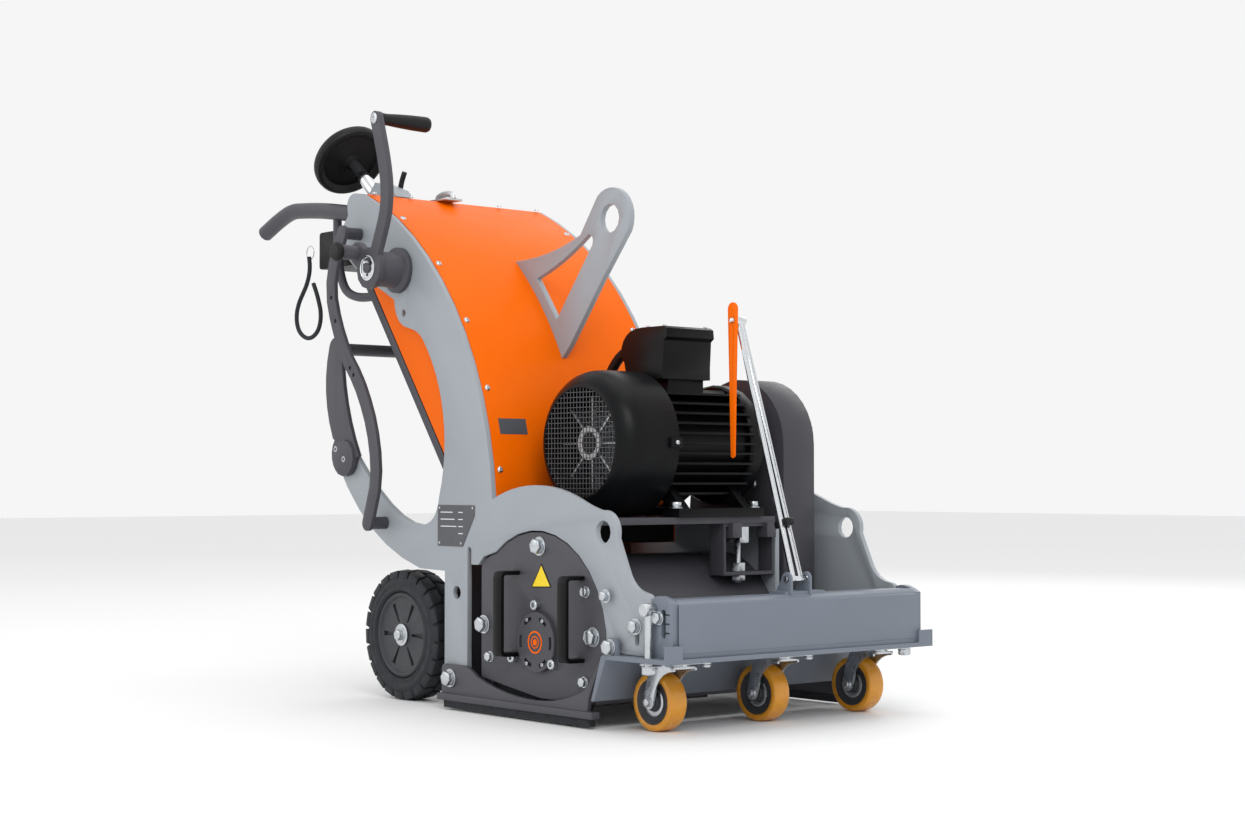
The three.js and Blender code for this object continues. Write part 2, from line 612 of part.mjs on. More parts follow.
// The lifting eye stands on the middle of the hood, over the balance of the machine.
const LIFT_X = -111;
const LIFT_Z = 908;
const LIFT_HOLE = 27;
const LIFT_HEAD = 58;
const eyeShape = new THREE.Shape();
eyeShape.moveTo(-401, 851);
eyeShape.quadraticCurveTo(-290, 850, -198, 885);
eyeShape.lineTo(LIFT_X - 38, LIFT_Z + 43);
eyeShape.absarc(LIFT_X, LIFT_Z, LIFT_HEAD, 130 * DEGREE, -28 * DEGREE, true);
eyeShape.lineTo(-134, 795);
eyeShape.lineTo(-220, 688);
eyeShape.quadraticCurveTo(-232, 672, -256, 651);
const eyeWindow = new THREE.Shape();
eyeWindow.moveTo(-331, 812);
eyeWindow.lineTo(-269, 729);
eyeWindow.lineTo(-163, 862);
eyeWindow.quadraticCurveTo(-154, 880, -174, 884);
eyeWindow.quadraticCurveTo(-250, 835, -331, 812);
const eyeNear = HOOD_MIDDLE - EYE_PLATE / 2;
const eyeFar = HOOD_MIDDLE + EYE_PLATE / 2;
const eyePlate = cut(
  acrossY(eyeShape, eyeNear, eyeFar),
  acrossY(eyeWindow, eyeNear - 1, eyeFar + 1),
  acrossY(disc(LIFT_X, LIFT_Z, LIFT_HOLE), eyeNear - 1, eyeFar + 1),
);
add('lifting_eye', eyePlate, LIGHT_GREY);

// ---- motor --------------------------------------------------------------------------------------------

const BASE_BACK = -170;
const BASE_FRONT = 100;
const baseTop = SEAT_Z;
const baseBottom = SEAT_Z - BASE_THICKNESS;
const TENSION_Y = HOOD_FAR - 90;
const TENSION_X = 84;
const TENSION_RADIUS = 6;
const CHANNEL_WIDTH = 136;
const CHANNEL_DROP = 106;
const CHANNEL_WALL = 6;

// The motor plate, with the open channel under its front edge that the belt tension screw pushes on.
const channel = cut(
  box(62, BASE_FRONT - 2, TENSION_Y + 20 - CHANNEL_WIDTH / 2, HOOD_INNER - GAP * 2, SEAT_Z - CHANNEL_DROP,
    baseBottom + 1),
  box(50, BASE_FRONT + 5, TENSION_Y + 20 - CHANNEL_WIDTH / 2 + CHANNEL_WALL,
    HOOD_INNER - GAP * 2 - CHANNEL_WALL,
    SEAT_Z - CHANNEL_DROP + CHANNEL_WALL, baseBottom - 6),
);
const motorPlate = box(BASE_BACK, BASE_FRONT, BAY_NEAR, BAY_FAR, baseBottom, baseTop);
const clevis = [TENSION_Y - 34, TENSION_Y + 52].map((y) => box(80, BASE_FRONT + 8, y, y + 22, 318,
  baseBottom + 1));
const screwHole = bar(TENSION_RADIUS + 1, at(TENSION_X, TENSION_Y, 200), at(TENSION_X, TENSION_Y, 400), 12);
const plateWithChannel = cut(join(motorPlate, channel, ...clevis), screwHole);
add('motor_base_plate', plateWithChannel, GRAPHITE);

// The belt tension screw: a threaded rod with two lock nuts and the block that it carries.
const nut = (z, height) => turned(
  [[0, 0], [14, 0], [14, height], [0, height]], at(TENSION_X, TENSION_Y, z), at(0, 0, 1), 6);
const tensionScrew = join(
  bar(TENSION_RADIUS, at(TENSION_X, TENSION_Y, 236), at(TENSION_X, TENSION_Y, baseBottom - 8), 12),
  nut(SEAT_Z - CHANNEL_DROP + CHANNEL_WALL + GAP, 16),
  nut(SEAT_Z - CHANNEL_DROP - GAP - 10, 10),
  box(TENSION_X - 18, TENSION_X + 18, TENSION_Y - 11, TENSION_Y + 11, 308, baseBottom - 6 - GAP),
);
add('belt_tension_screw', tensionScrew, ZINC);

// The finned housing. Its fins lie level on both sides and stand upright on top.
const FIN_PITCH = 18;
const FIN_WIDTH = 4;
function finnedSection() {
  const section = new THREE.Shape();
  const points = [];
  const sideFins = 5;
  for (let index = -sideFins; index <= sideFins; index += 1) {
    const z = index * FIN_PITCH;
    const tip = Math.sqrt(MOTOR_BODY ** 2 - z ** 2);
    const root = Math.sqrt(Math.max(MOTOR_CORE ** 2 - z ** 2, 0)) * 0.98;
    const [low, high] = [z - FIN_WIDTH / 2, z + FIN_WIDTH / 2];
    points.push([root, low], [tip, low], [tip, high], [root, high]);
  }
  const right = points.filter(([x]) => x > 35);
  const crown = Math.sqrt(MOTOR_CORE ** 2 - 34 ** 2);
  const outline = [...right, [34, crown + 6], [-34, crown + 6]];
  outline.push(...[...right].reverse().map(([x, z]) => [-x, z]), [-34, -crown], [34, -crown]);
  outline.forEach(([x, z], index) => {
    const place = [MOTOR_X + x, MOTOR_Z + z];
    if (index) section.lineTo(...place);
    else section.moveTo(...place);
  });
  return section;
}
const BODY_WALL = 8;
const STATOR_BORE = 62;
const FOOT_SPAN = 216;
const footPad = (x) => box(x - 22, x + 22, MOTOR_NEAR + 17, MOTOR_FAR, baseTop + GAP, baseTop + 16);
const footWeb = (x, inward) => [MOTOR_NEAR + 37, MOTOR_FAR - 38].map((y) => {
  const web = new THREE.Shape();
  web.moveTo(x + inward * 14, baseTop + 10);
  web.lineTo(x - inward * 14, baseTop + 10);
  web.lineTo(MOTOR_X + (x - MOTOR_X) * 0.3, MOTOR_Z - 84);
  web.lineTo(MOTOR_X + (x - MOTOR_X) * 0.62, MOTOR_Z - 70);
  return acrossY(web, y, y + 18);
});
const frontFoot = MOTOR_X + FOOT_SPAN / 2;
const rearFoot = MOTOR_X - FOOT_SPAN / 2;
const shield = (near, far, radius) => turned(
  [[0, near], [radius - 4, near], [radius, near + 5], [radius, far - 5], [radius - 4, far], [0, far]],
  at(MOTOR_X, 0, MOTOR_Z), at(0, 1, 0), 24);
const housing = join(
  acrossY(finnedSection(), MOTOR_NEAR + 12, MOTOR_FAR - 8),
  shield(MOTOR_NEAR, MOTOR_NEAR + 16, 112),
  shield(MOTOR_FAR - 12, MOTOR_FAR + 22, 112),
  footPad(frontFoot), footPad(rearFoot), ...footWeb(frontFoot, 1), ...footWeb(rearFoot, -1),
);
const bodyCore = turned(
  [
    [0, MOTOR_NEAR - 5], [MOTOR_SHAFT + GAP, MOTOR_NEAR - 5], [MOTOR_SHAFT + GAP, MOTOR_NEAR + BODY_WALL + 6],
    [STATOR_BORE, MOTOR_NEAR + BODY_WALL + 6], [STATOR_BORE, MOTOR_FAR], [MOTOR_SHAFT + GAP, MOTOR_FAR],
    [MOTOR_SHAFT + GAP, MOTOR_FAR + 30], [0, MOTOR_FAR + 30],
  ],
  at(MOTOR_X, 0, MOTOR_Z), at(0, 1, 0), 24);
const BOX_SEAT = 605;
const BOX_NEAR = MOTOR_NEAR + 49;
const BOX_FAR = MOTOR_FAR - 60;
const BOX_MIDDLE = (BOX_NEAR + BOX_FAR) / 2;
const boxNeck = box(MOTOR_X - 42, MOTOR_X + 42, BOX_NEAR + 20, BOX_FAR - 10, MOTOR_Z + 80, BOX_SEAT);
add('motor_housing', cut(join(housing, boxNeck), bodyCore), BLACK);

// The rotor with its shaft turns in the housing.
const SHAFT_END = MOTOR_NEAR - 71;
const SHAFT_STEP = MOTOR_NEAR - 39;
const FAN_SEAT = MOTOR_SHAFT - 7;
const rotor = turned(
  [
    [0, SHAFT_END], [FAN_SEAT, SHAFT_END], [FAN_SEAT, SHAFT_STEP], [MOTOR_SHAFT, SHAFT_STEP],
    [MOTOR_SHAFT, MOTOR_NEAR + BODY_WALL + 20], [STATOR_BORE - 1.5, MOTOR_NEAR + BODY_WALL + 20],
    [STATOR_BORE - 1.5, MOTOR_FAR - 12], [MOTOR_SHAFT, MOTOR_FAR - 12],
    [MOTOR_SHAFT, GUARD_FAR - 12], [0, GUARD_FAR - 12],
  ],
  at(MOTOR_X, 0, MOTOR_Z), at(0, 1, 0), 20);
add('motor_rotor', rotor, STEEL);

// The cooling fan is pressed on the near end of the shaft.
const FAN_RADIUS = 84;
const FAN_NEAR = SHAFT_END - 4;
const FAN_FAR = SHAFT_STEP + 10;
const fanHub = turned(
  [
    [0, FAN_NEAR - 4], [26, FAN_NEAR - 4], [26, FAN_FAR - 6], [60, FAN_FAR - 6], [60, FAN_FAR],
    [MOTOR_SHAFT + GAP, FAN_FAR], [MOTOR_SHAFT + GAP, SHAFT_STEP - GAP], [FAN_SEAT + GAP, SHAFT_STEP - GAP],
    [FAN_SEAT + GAP, SHAFT_END - GAP], [0, SHAFT_END - GAP],
  ],
  at(MOTOR_X, 0, MOTOR_Z), at(0, 1, 0), 24);
const fanBlades = Array.from({ length: 8 }, (_, index) => {
  const blade = box(24, FAN_RADIUS, FAN_NEAR, FAN_FAR - 2, -2, 2);
  return blade.rotateY(index * 45 * DEGREE).translate(MOTOR_X, 0, MOTOR_Z);
});
add('cooling_fan', join(fanHub, ...fanBlades), GRAPHITE);

// The fan cowl, with its grille pressed into the near end.
const COWL_NEAR = MOTOR_NEAR - COWL_LENGTH;
const COWL_WALL = 3;
const GRILLE_RADIUS = 98;
const cowl = turned(
  [
    [GRILLE_RADIUS, COWL_NEAR], [GRILLE_RADIUS + 14, COWL_NEAR + 6], [COWL_RADIUS - 7, COWL_NEAR + 24],
    [COWL_RADIUS, COWL_NEAR + 50], [COWL_RADIUS, MOTOR_NEAR + 18], [COWL_RADIUS - COWL_WALL, MOTOR_NEAR + 18],
    [COWL_RADIUS - COWL_WALL, COWL_NEAR + 50], [COWL_RADIUS - 10, COWL_NEAR + 26],
    [GRILLE_RADIUS + 12, COWL_NEAR + 9], [GRILLE_RADIUS - 2, COWL_NEAR + 4],
    [GRILLE_RADIUS - 2, COWL_NEAR + 1],
    [GRILLE_RADIUS, COWL_NEAR],
  ],
  at(MOTOR_X, 0, MOTOR_Z), at(0, 1, 0), 28);
const GRILLE_PITCH = 28;
const GRILLE_BAR = 4;
const meshHoles = [];
for (let column = -3; column <= 3; column += 1) {
  for (let row = -3; row <= 3; row += 1) {
    if (Math.hypot(column, row) * GRILLE_PITCH + GRILLE_PITCH / 2 < GRILLE_RADIUS) {
      const x = MOTOR_X + column * GRILLE_PITCH;
      const z = MOTOR_Z + row * GRILLE_PITCH;
      const half = (GRILLE_PITCH - GRILLE_BAR) / 2;
      meshHoles.push(box(x - half, x + half, COWL_NEAR - 1, COWL_NEAR + 6, z - half, z + half));
    }
  }
}
const grilleDisc = turned(
  [[0, COWL_NEAR + 1], [GRILLE_RADIUS + 1, COWL_NEAR + 1], [GRILLE_RADIUS + 1, COWL_NEAR + 4],
    [0, COWL_NEAR + 4]],
  at(MOTOR_X, 0, MOTOR_Z), at(0, 1, 0), 28);
add('fan_cowl', join(cowl, cut(grilleDisc, ...meshHoles)), BLACK);

// The terminal box stands on the housing's neck, with its cover sloping down to the rear.
const BOX_TOP = 701;
const boxShape = new THREE.Shape();
boxShape.moveTo(MOTOR_X - 50, BOX_SEAT + GAP);
boxShape.lineTo(MOTOR_X + 50, BOX_SEAT + GAP);
boxShape.lineTo(MOTOR_X + 50, BOX_SEAT + 22);
boxShape.lineTo(MOTOR_X + 53, BOX_TOP - 26);
boxShape.lineTo(MOTOR_X + 61, BOX_TOP - 20);
boxShape.lineTo(MOTOR_X + 59, BOX_TOP - 4);
boxShape.lineTo(MOTOR_X + 52, BOX_TOP);
boxShape.lineTo(MOTOR_X - 8, BOX_TOP);
boxShape.quadraticCurveTo(MOTOR_X - 66, BOX_TOP, MOTOR_X - 68, BOX_TOP - 50);
boxShape.lineTo(MOTOR_X - 58, BOX_TOP - 62);
const terminalBox = acrossY(boxShape, BOX_NEAR, BOX_FAR);
const CONDUIT_Z = BOX_TOP - 33;
const screwRing = bar(17, at(MOTOR_X - 60, BOX_MIDDLE, CONDUIT_Z), at(MOTOR_X - 84, BOX_MIDDLE, CONDUIT_Z),
  16);
add('terminal_box', join(terminalBox, screwRing), BLACK);
const conduitPath = [
  [84 + GAP, 0], [104, 0], [136, 12], [164, 40], [184, 74], [196, 106],
].map(([back, drop]) => at(MOTOR_X - back, BOX_MIDDLE, CONDUIT_Z - drop));
const conduitEnd = conduitPath[conduitPath.length - 1];
conduitEnd.x = ARM_X + Math.sqrt(ARM_RADIUS ** 2 - (conduitEnd.z - ARM_Z) ** 2) + 16;
add('motor_conduit', bent(10, conduitPath, 14, 5), BLACK);

// ---- belt drive ---------------------------------------------------------------------------------------

// A closed housing round both pulleys.
const GUARD_REAR = -172;
function guardShape(inset) {
  const shape = new THREE.Shape();
  const radius = GUARD_RADIUS - inset;
  const low = 40 + inset;
  shape.moveTo(MOTOR_X + radius, low + 60);
  shape.lineTo(MOTOR_X + radius, MOTOR_Z);
  shape.absarc(MOTOR_X, MOTOR_Z, radius, 0, Math.PI, false);
  shape.lineTo(GUARD_REAR + inset, DRUM_Z + 60);
  shape.lineTo(GUARD_REAR + inset, low + 50);
  shape.quadraticCurveTo(GUARD_REAR + inset, low, GUARD_REAR + 50, low);
  shape.lineTo(MOTOR_X + radius - 60, low);
  shape.quadraticCurveTo(MOTOR_X + radius, low, MOTOR_X + radius, low + 60);
  return shape;
}
const guard = cut(
  acrossY(guardShape(0), GUARD_NEAR, GUARD_FAR, 9),
  acrossY(guardShape(GUARD_WALL), GUARD_NEAR + GUARD_WALL, GUARD_FAR - GUARD_WALL, 9),
  bar(MOTOR_SHAFT + 6, at(MOTOR_X, GUARD_NEAR - 5, MOTOR_Z), at(MOTOR_X, GUARD_NEAR + 10, MOTOR_Z), 20),
  bar(SHAFT_RADIUS + 6, at(DRUM_X, GUARD_NEAR - 5, DRUM_Z), at(DRUM_X, GUARD_NEAR + 10, DRUM_Z), 20),
);
add('belt_guard', guard, GRAPHITE);

function pulley(radius, bore, x, z) {
  const half = BELT_WIDTH / 2 + 2;
  const face = radius - BELT_THICKNESS / 2 - GAP;
  return turned(
    [
      [bore, -half - 4], [face + 10, -half - 4], [face + 10, -half], [face, -half], [face, half],
      [face + 10, half], [face + 10, half + 4], [bore, half + 4], [bore, -half - 4],
    ],
    at(x, PULLEY_MIDDLE, z), at(0, 1, 0), 20);
}
add('motor_pulley', pulley(MOTOR_PULLEY, MOTOR_SHAFT + GAP, MOTOR_X, MOTOR_Z), STEEL);
add('drum_pulley', pulley(DRUM_PULLEY, SHAFT_RADIUS + GAP, DRUM_X, DRUM_Z), STEEL);

// The belt runs on the common tangents of the two pulleys.
function beltLoop(inset) {
  const lineX = MOTOR_X - DRUM_X;
  const lineZ = MOTOR_Z - DRUM_Z;
  const heading = Math.atan2(lineZ, lineX);
  const lean = Math.acos((DRUM_PULLEY - MOTOR_PULLEY) / Math.hypot(lineX, lineZ));
  const path = new THREE.Shape();
  path.absarc(MOTOR_X, MOTOR_Z, MOTOR_PULLEY + inset, heading - lean, heading + lean, false);
  path.absarc(DRUM_X, DRUM_Z, DRUM_PULLEY + inset, heading + lean, heading + 2 * Math.PI - lean, false);
  path.closePath();
  return path;
}
const beltShape = beltLoop(BELT_THICKNESS / 2);
beltShape.holes.push(beltLoop(-BELT_THICKNESS / 2));
const beltSolid = acrossY(beltShape, PULLEY_MIDDLE - BELT_WIDTH / 2, PULLEY_MIDDLE + BELT_WIDTH / 2, 12);
add('drive_belt', beltSolid, RUBBER);

// ---- cutter drum --------------------------------------------------------------------------------------

// A shaft with end discs and six rods, each rod carrying a stack of star cutters.
const drumNear = HOOD_MIDDLE - DRUM_LENGTH / 2;
const drumFar = HOOD_MIDDLE + DRUM_LENGTH / 2;
const ROD_CIRCLE = 88;
const STAR_TIP = DRUM_RADIUS - ROD_CIRCLE;
const STAR_ROOT = 27;
const TEETH = 6;
const RODS = 6;
const DRUM_DISC = 12;
function starShape(x, z) {
  const points = [];
  for (let index = 0; index < TEETH * 2; index += 1) {
    const radius = index % 2 ? STAR_ROOT : STAR_TIP;
    const angle = index * Math.PI / TEETH;
    points.push(new THREE.Vector2(x + radius * Math.cos(angle), z + radius * Math.sin(angle)));
  }
  return new THREE.Shape(points);
}
const shaft = turned(
  [
    [0, capFace + 10], [SHAFT_RADIUS, capFace + 10], [SHAFT_RADIUS, drumNear - 4], [DRUM_TUBE, drumNear - 4],
    [DRUM_TUBE, drumFar + 4], [SHAFT_RADIUS, drumFar + 4], [SHAFT_RADIUS, GUARD_FAR - 12],
    [0, GUARD_FAR - 12],
  ],
  at(DRUM_X, 0, DRUM_Z), at(0, 1, 0), 24);
const discs = [drumNear, drumFar - DRUM_DISC].map(
  (y) => acrossY(disc(DRUM_X, DRUM_Z, ROD_CIRCLE + 16), y, y + DRUM_DISC, 9));
const stacks = Array.from({ length: RODS }, (_, index) => {
  const angle = (index + 0.5) * 2 * Math.PI / RODS;
  const star = starShape(DRUM_X + ROD_CIRCLE * Math.cos(angle), DRUM_Z + ROD_CIRCLE * Math.sin(angle));
  return acrossY(star, drumNear + 6, drumFar - 6);
});
add('cutter_drum', join(shaft, ...discs, ...stacks), STEEL);

// ---- handlebars and control box -----------------------------------------------------------------------

// Everything at the operator's end hangs from the top of the hood.
const topX = (back) => HOOD_BACK - back;
const topZ = (down) => HOOD_TOP - down;

function handlebar(y) {
  const tube = bent(BAR_RADIUS, [
    at(topX(44), y, topZ(36)), at(topX(132), y, topZ(21)), at(topX(220), y, topZ(8)),
    at(topX(300), y, topZ(0)),
    at(topX(345), y, topZ(-1)), at(topX(395), y, topZ(12)), at(topX(453), y, topZ(34)),
  ], 14, 6);
  const brace = bent(9, [
    at(topX(-14), y, topZ(194)), at(topX(40), y, topZ(198)), at(topX(96), y, topZ(194)),
    at(topX(136), y, topZ(176)),
    at(topX(158), y, topZ(134)), at(topX(166), y, topZ(80)), at(topX(168), y, topZ(14)),
  ], 12, 4);
  return join(tube, brace);
}
add('handlebar_near', handlebar(BAR_Y), GRAPHITE);
add('handlebar_far', handlebar(FAR_BAR_Y), GRAPHITE);

// The control box hangs between the bars, its face towards the operator.
const BOX_FRONT = topX(92);
const BOX_BACK = topX(268);
const boxNearY = BAR_Y + BAR_RADIUS + 3;
const boxFarY = FAR_BAR_Y - BAR_RADIUS - 3;
const boxLow = topZ(125);
const boxHigh = topZ(48);
const controlShape = new THREE.Shape();
controlShape.moveTo(BOX_BACK, boxLow + 8);
controlShape.quadraticCurveTo(BOX_BACK, boxLow, BOX_BACK + 8, boxLow);
controlShape.lineTo(BOX_FRONT - 26, boxLow);
controlShape.lineTo(BOX_FRONT, boxLow + 20);
controlShape.lineTo(BOX_FRONT, boxHigh);
controlShape.lineTo(BOX_BACK + 8, boxHigh);
controlShape.quadraticCurveTo(BOX_BACK, boxHigh, BOX_BACK, boxHigh - 8);
const STOP_Y = -60;
const STOP_Z = (boxLow + boxHigh) / 2 + 2;
const STOP_TRAVEL = 5;
const stopSocket = bar(6.6, at(BOX_BACK - 5, STOP_Y, STOP_Z), at(BOX_BACK + 18, STOP_Y, STOP_Z), 16);
add('control_box', cut(acrossY(controlShape, boxNearY, boxFarY), stopSocket), BLACK);
const stopButton = turned(
  [
    [0, -10], [6, -10], [6, STOP_TRAVEL + 2], [17, STOP_TRAVEL + 2], [20, STOP_TRAVEL + 6],
    [20, STOP_TRAVEL + 12], [14, STOP_TRAVEL + 17], [0, STOP_TRAVEL + 18],
  ],
  at(BOX_BACK, STOP_Y, STOP_Z), at(-1, 0, 0), 20);
add('stop_button', stopButton, RED);

// The safety cord: a stiff rubber cord that drops from the ring on the box's rear corner and turns up.
const cordRoute = [
  [-887, 888], [-884.5, 876], [-884, 862], [-888, 846], [-897, 829], [-911, 812], [-924, 796], [-933, 777],
  [-934, 757], [-926, 738], [-910, 725], [-889, 718.5], [-868, 721.5], [-850.5, 733], [-841.5, 751],
  [-841, 772], [-848, 792], [-857, 811], [-869, 831],
];
const cordPoints = cordRoute.map(([x, z]) => at(x, BAR_Y, z));
add('safety_cord', bent(CORD_DIAMETER / 2, cordPoints, 30, 4), RUBBER);

// ---- depth handwheel ----------------------------------------------------------------------------------

const lean = COLUMN_TILT * DEGREE;
const columnAxis = at(-Math.sin(lean), 0, Math.cos(lean));
const columnFoot = at(topX(96), COLUMN_Y, topZ(-8));
const along = (distance) => columnFoot.clone().addScaledVector(columnAxis, distance);
const COLUMN_LENGTH = 133;
const SPINDLE_RADIUS = 8;

// The bracket is a folded plate on top of the hood, with a split boss that the lever clamps.
const bracketShape = new THREE.Shape();
bracketShape.moveTo(topX(6), topZ(-3));
bracketShape.lineTo(topX(44), topZ(-6));
bracketShape.lineTo(topX(106), topZ(10));
bracketShape.lineTo(topX(122), topZ(-6));
bracketShape.lineTo(topX(86), topZ(-40));
bracketShape.lineTo(topX(26), topZ(-20));
const bracketPlate = acrossY(bracketShape, COLUMN_Y - 20, COLUMN_Y + 20);
const bossHole = bar(COLUMN_RADIUS + 0.6, along(-40), along(60), 20);
add('handwheel_bracket', cut(bracketPlate, bossHole), LIGHT_GREY);
const column = turned(
  [
    [SPINDLE_RADIUS + 0.8, -26], [COLUMN_RADIUS, -26], [COLUMN_RADIUS, COLUMN_LENGTH],
    [SPINDLE_RADIUS + 0.8, COLUMN_LENGTH], [SPINDLE_RADIUS + 0.8, -26],
  ],
  columnFoot, columnAxis, 20);
add('depth_column', column, CHROME);

// The handwheel is a dished disc on the spindle that runs down the column.
const rimLow = COLUMN_LENGTH + 2;
const rimHigh = rimLow + HANDWHEEL_THICKNESS;
const wheelDisc = turned(
  [
    [0, -20], [SPINDLE_RADIUS, -20], [SPINDLE_RADIUS, rimLow], [22, rimLow], [22, rimLow + 8],
    [HANDWHEEL_RADIUS - 12, rimLow + 8], [HANDWHEEL_RADIUS - 8, rimLow + 1],
    [HANDWHEEL_RADIUS - 3, rimLow + 3],
    [HANDWHEEL_RADIUS, rimLow + 12], [HANDWHEEL_RADIUS - 3, rimHigh - 4], [HANDWHEEL_RADIUS - 10, rimHigh],
    [HANDWHEEL_RADIUS - 16, rimHigh - 8], [24, rimHigh - 10], [16, rimHigh - 2], [0, rimHigh - 2],
  ],
  columnFoot, columnAxis, 24);
add('handwheel', wheelDisc, BLACK);

// The clamp lever turns on a stud on the bracket's far side.
const CLAMP_X = topX(74);
const CLAMP_Z = topZ(-19);
const clampY = COLUMN_Y + 20 + GAP;
const lever = join(
  turned([[0, 0], [11, 0], [11, 14], [8, 18], [0, 18]], at(CLAMP_X, clampY, CLAMP_Z), at(0, 1, 0), 16),
  bent(5.5, [at(CLAMP_X, clampY + 9, CLAMP_Z), at(CLAMP_X + 4, clampY + 11, CLAMP_Z + 12),
    at(CLAMP_X + 8, clampY + 12, CLAMP_Z + 27), at(CLAMP_X + 16, clampY + 13, CLAMP_Z + 44)], 8, 4),
);
add('clamp_lever', lever, BLACK);

// ---- lift crank, its plunger and the index bar --------------------------------------------------------

const crankBack = CRANK_FACE + CRANK_THICKNESS;
const BEARING_RADIUS = 34;
const bearingProfile = [
  [0, NEAR_OUTER - GAP], [BEARING_RADIUS + 10, NEAR_OUTER - GAP], [BEARING_RADIUS + 10, NEAR_OUTER - 10],
  [BEARING_RADIUS, NEAR_OUTER - 14], [BEARING_RADIUS, crankBack + 1], [10, crankBack + 1],
  [10, CRANK_FACE - 6],
  [0, CRANK_FACE - 6],
];
add('crank_bearing', turned(bearingProfile, at(CRANK_X, 0, CRANK_Z), at(0, 1, 0), 24), GRAPHITE);

// The crank: a hub with a lobe for the plunger, and a gently curved arm with the grip's pin.
const TIP_X = CRANK_X + 19;
const TIP_Z = CRANK_Z + 284;
const PLUNGER_X = CRANK_X - 42;
const PLUNGER_Z = CRANK_Z + 32;
const armRibbon = ribbon([
  [CRANK_X + 10, CRANK_Z + 10], [CRANK_X + 37, CRANK_Z + 68], [CRANK_X + 51, CRANK_Z + 105],
  [CRANK_X + 54, CRANK_Z + 150], [CRANK_X + 45, CRANK_Z + 199], [TIP_X, TIP_Z],
], 27, 14);
const crankPin = bar(7, at(TIP_X, CRANK_FACE + 2, TIP_Z), at(TIP_X, crankBack + GRIP_LENGTH - 6, TIP_Z), 14);
const crankHub = acrossY(disc(CRANK_X, CRANK_Z, 40), CRANK_FACE, crankBack);
const lobe = acrossY(strap(CRANK_X, CRANK_Z, PLUNGER_X, PLUNGER_Z, 21), CRANK_FACE, crankBack);
const sleeve = bar(14, at(PLUNGER_X, CRANK_FACE - 36, PLUNGER_Z), at(PLUNGER_X, CRANK_FACE + 1, PLUNGER_Z),
  18);
const crank = cut(
  join(
    acrossY(armRibbon, CRANK_FACE, crankBack),
    acrossY(disc(TIP_X, TIP_Z, 14), CRANK_FACE, crankBack),
    crankHub, lobe, sleeve, crankPin,
  ),
  bar(10.8, at(CRANK_X, CRANK_FACE - 10, CRANK_Z), at(CRANK_X, crankBack + 10, CRANK_Z), 24),
  bar(5.8, at(PLUNGER_X, CRANK_FACE - 40, PLUNGER_Z), at(PLUNGER_X, crankBack + 10, PLUNGER_Z), 16),
);
add('crank_arm', crank, GRAPHITE);
const gripFrom = crankBack + 1;
const grip = turned(
  [
    [7.8, 0], [GRIP_RADIUS - 2, 0], [GRIP_RADIUS, 4], [GRIP_RADIUS, GRIP_LENGTH - 5],
    [GRIP_RADIUS - 4, GRIP_LENGTH], [0, GRIP_LENGTH], [0, GRIP_LENGTH - 5.5], [7.8, GRIP_LENGTH - 5.5],
    [7.8, 0],
  ],
  at(TIP_X, gripFrom, TIP_Z), at(0, 1, 0), 20);
add('crank_grip', grip, BLACK);
const knobFace = CRANK_FACE - 36 - GAP;
const plunger = turned(
  [
    [0, knobFace - 14], [15, knobFace - 14], [19, knobFace - 10], [19, knobFace - 3], [16, knobFace],
    [5.2, knobFace],
    [5.2, crankBack + 2], [0, crankBack + 2],
  ],
  at(PLUNGER_X, 0, PLUNGER_Z), at(0, 1, 0), 20);
add('crank_plunger', plunger, BLACK);

// The index bar is bolted to the head of the arm and to the tail.
const indexPath = [
  [-617, topZ(80)], [-646, topZ(137)], [-656, topZ(192)], [-645, topZ(236)], [-631, 717], [-594, 655],
  [-557, 612],
  [-510, 520], [-496, 425], [-523, 340],
];
const indexEnds = [indexPath[0], indexPath[indexPath.length - 1]];
const indexFace = INDEX_Y - INDEX_THICKNESS / 2;
const indexBack = INDEX_Y + INDEX_THICKNESS / 2;
const indexBar = cut(
  join(
    acrossY(ribbon(indexPath, INDEX_WIDTH, 18), indexFace, indexBack),
    ...indexEnds.map(([x, z]) => acrossY(disc(x, z, INDEX_WIDTH / 2), indexFace, indexBack, 8)),
    ...indexEnds.map(([x, z]) => bar(12, at(x, indexFace + 1, z), at(x, NEAR_OUTER - GAP, z), 14)),
  ),
  ...[[-652, topZ(205)], [-637, 735], [-584, 640], [-571, 626]].map(
    ([x, z]) => bar(4.5, at(x, indexFace - 1, z), at(x, indexBack + 1, z), 8)),
);
add('index_bar', indexBar, GRAPHITE);

// ---- rear stand ---------------------------------------------------------------------------------------

// A crescent bracket on each tail, joined by a tube.
const STAND_TUBE_X = -692;
const STAND_TUBE_Z = 684;
const STAND_THICKNESS = 8;
function standBracket(from, to) {
  const crescent = new THREE.Shape();
  crescent.moveTo(-607, 470);
  crescent.quadraticCurveTo(-668, 570, -669, STAND_TUBE_Z);
  crescent.absarc(STAND_TUBE_X, STAND_TUBE_Z, 23, 0, 160 * DEGREE, false);
  crescent.quadraticCurveTo(-746, 600, -700, 505);
  crescent.absarc(-660, TAIL_Z + 4, 44, 140 * DEGREE, 350 * DEGREE, false);
  const [near, far] = [Math.min(from, to), Math.max(from, to)];
  const [nearProud, farProud] = from > 0 ? [0, 6] : [6, 0];
  const boss = acrossY(disc(-654, TAIL_Z - 4, 36), near - nearProud, far + farProud);
  return join(acrossY(crescent, near, far), boss);
}
const standNear = NEAR_OUTER - GAP;
const standFar = HOOD_FAR + GAP;
const stand = join(
  standBracket(standNear, standNear - STAND_THICKNESS),
  standBracket(standFar, standFar + STAND_THICKNESS),
  bar(12, at(STAND_TUBE_X, standNear - 2, STAND_TUBE_Z), at(STAND_TUBE_X, standFar + 2, STAND_TUBE_Z), 16),
);
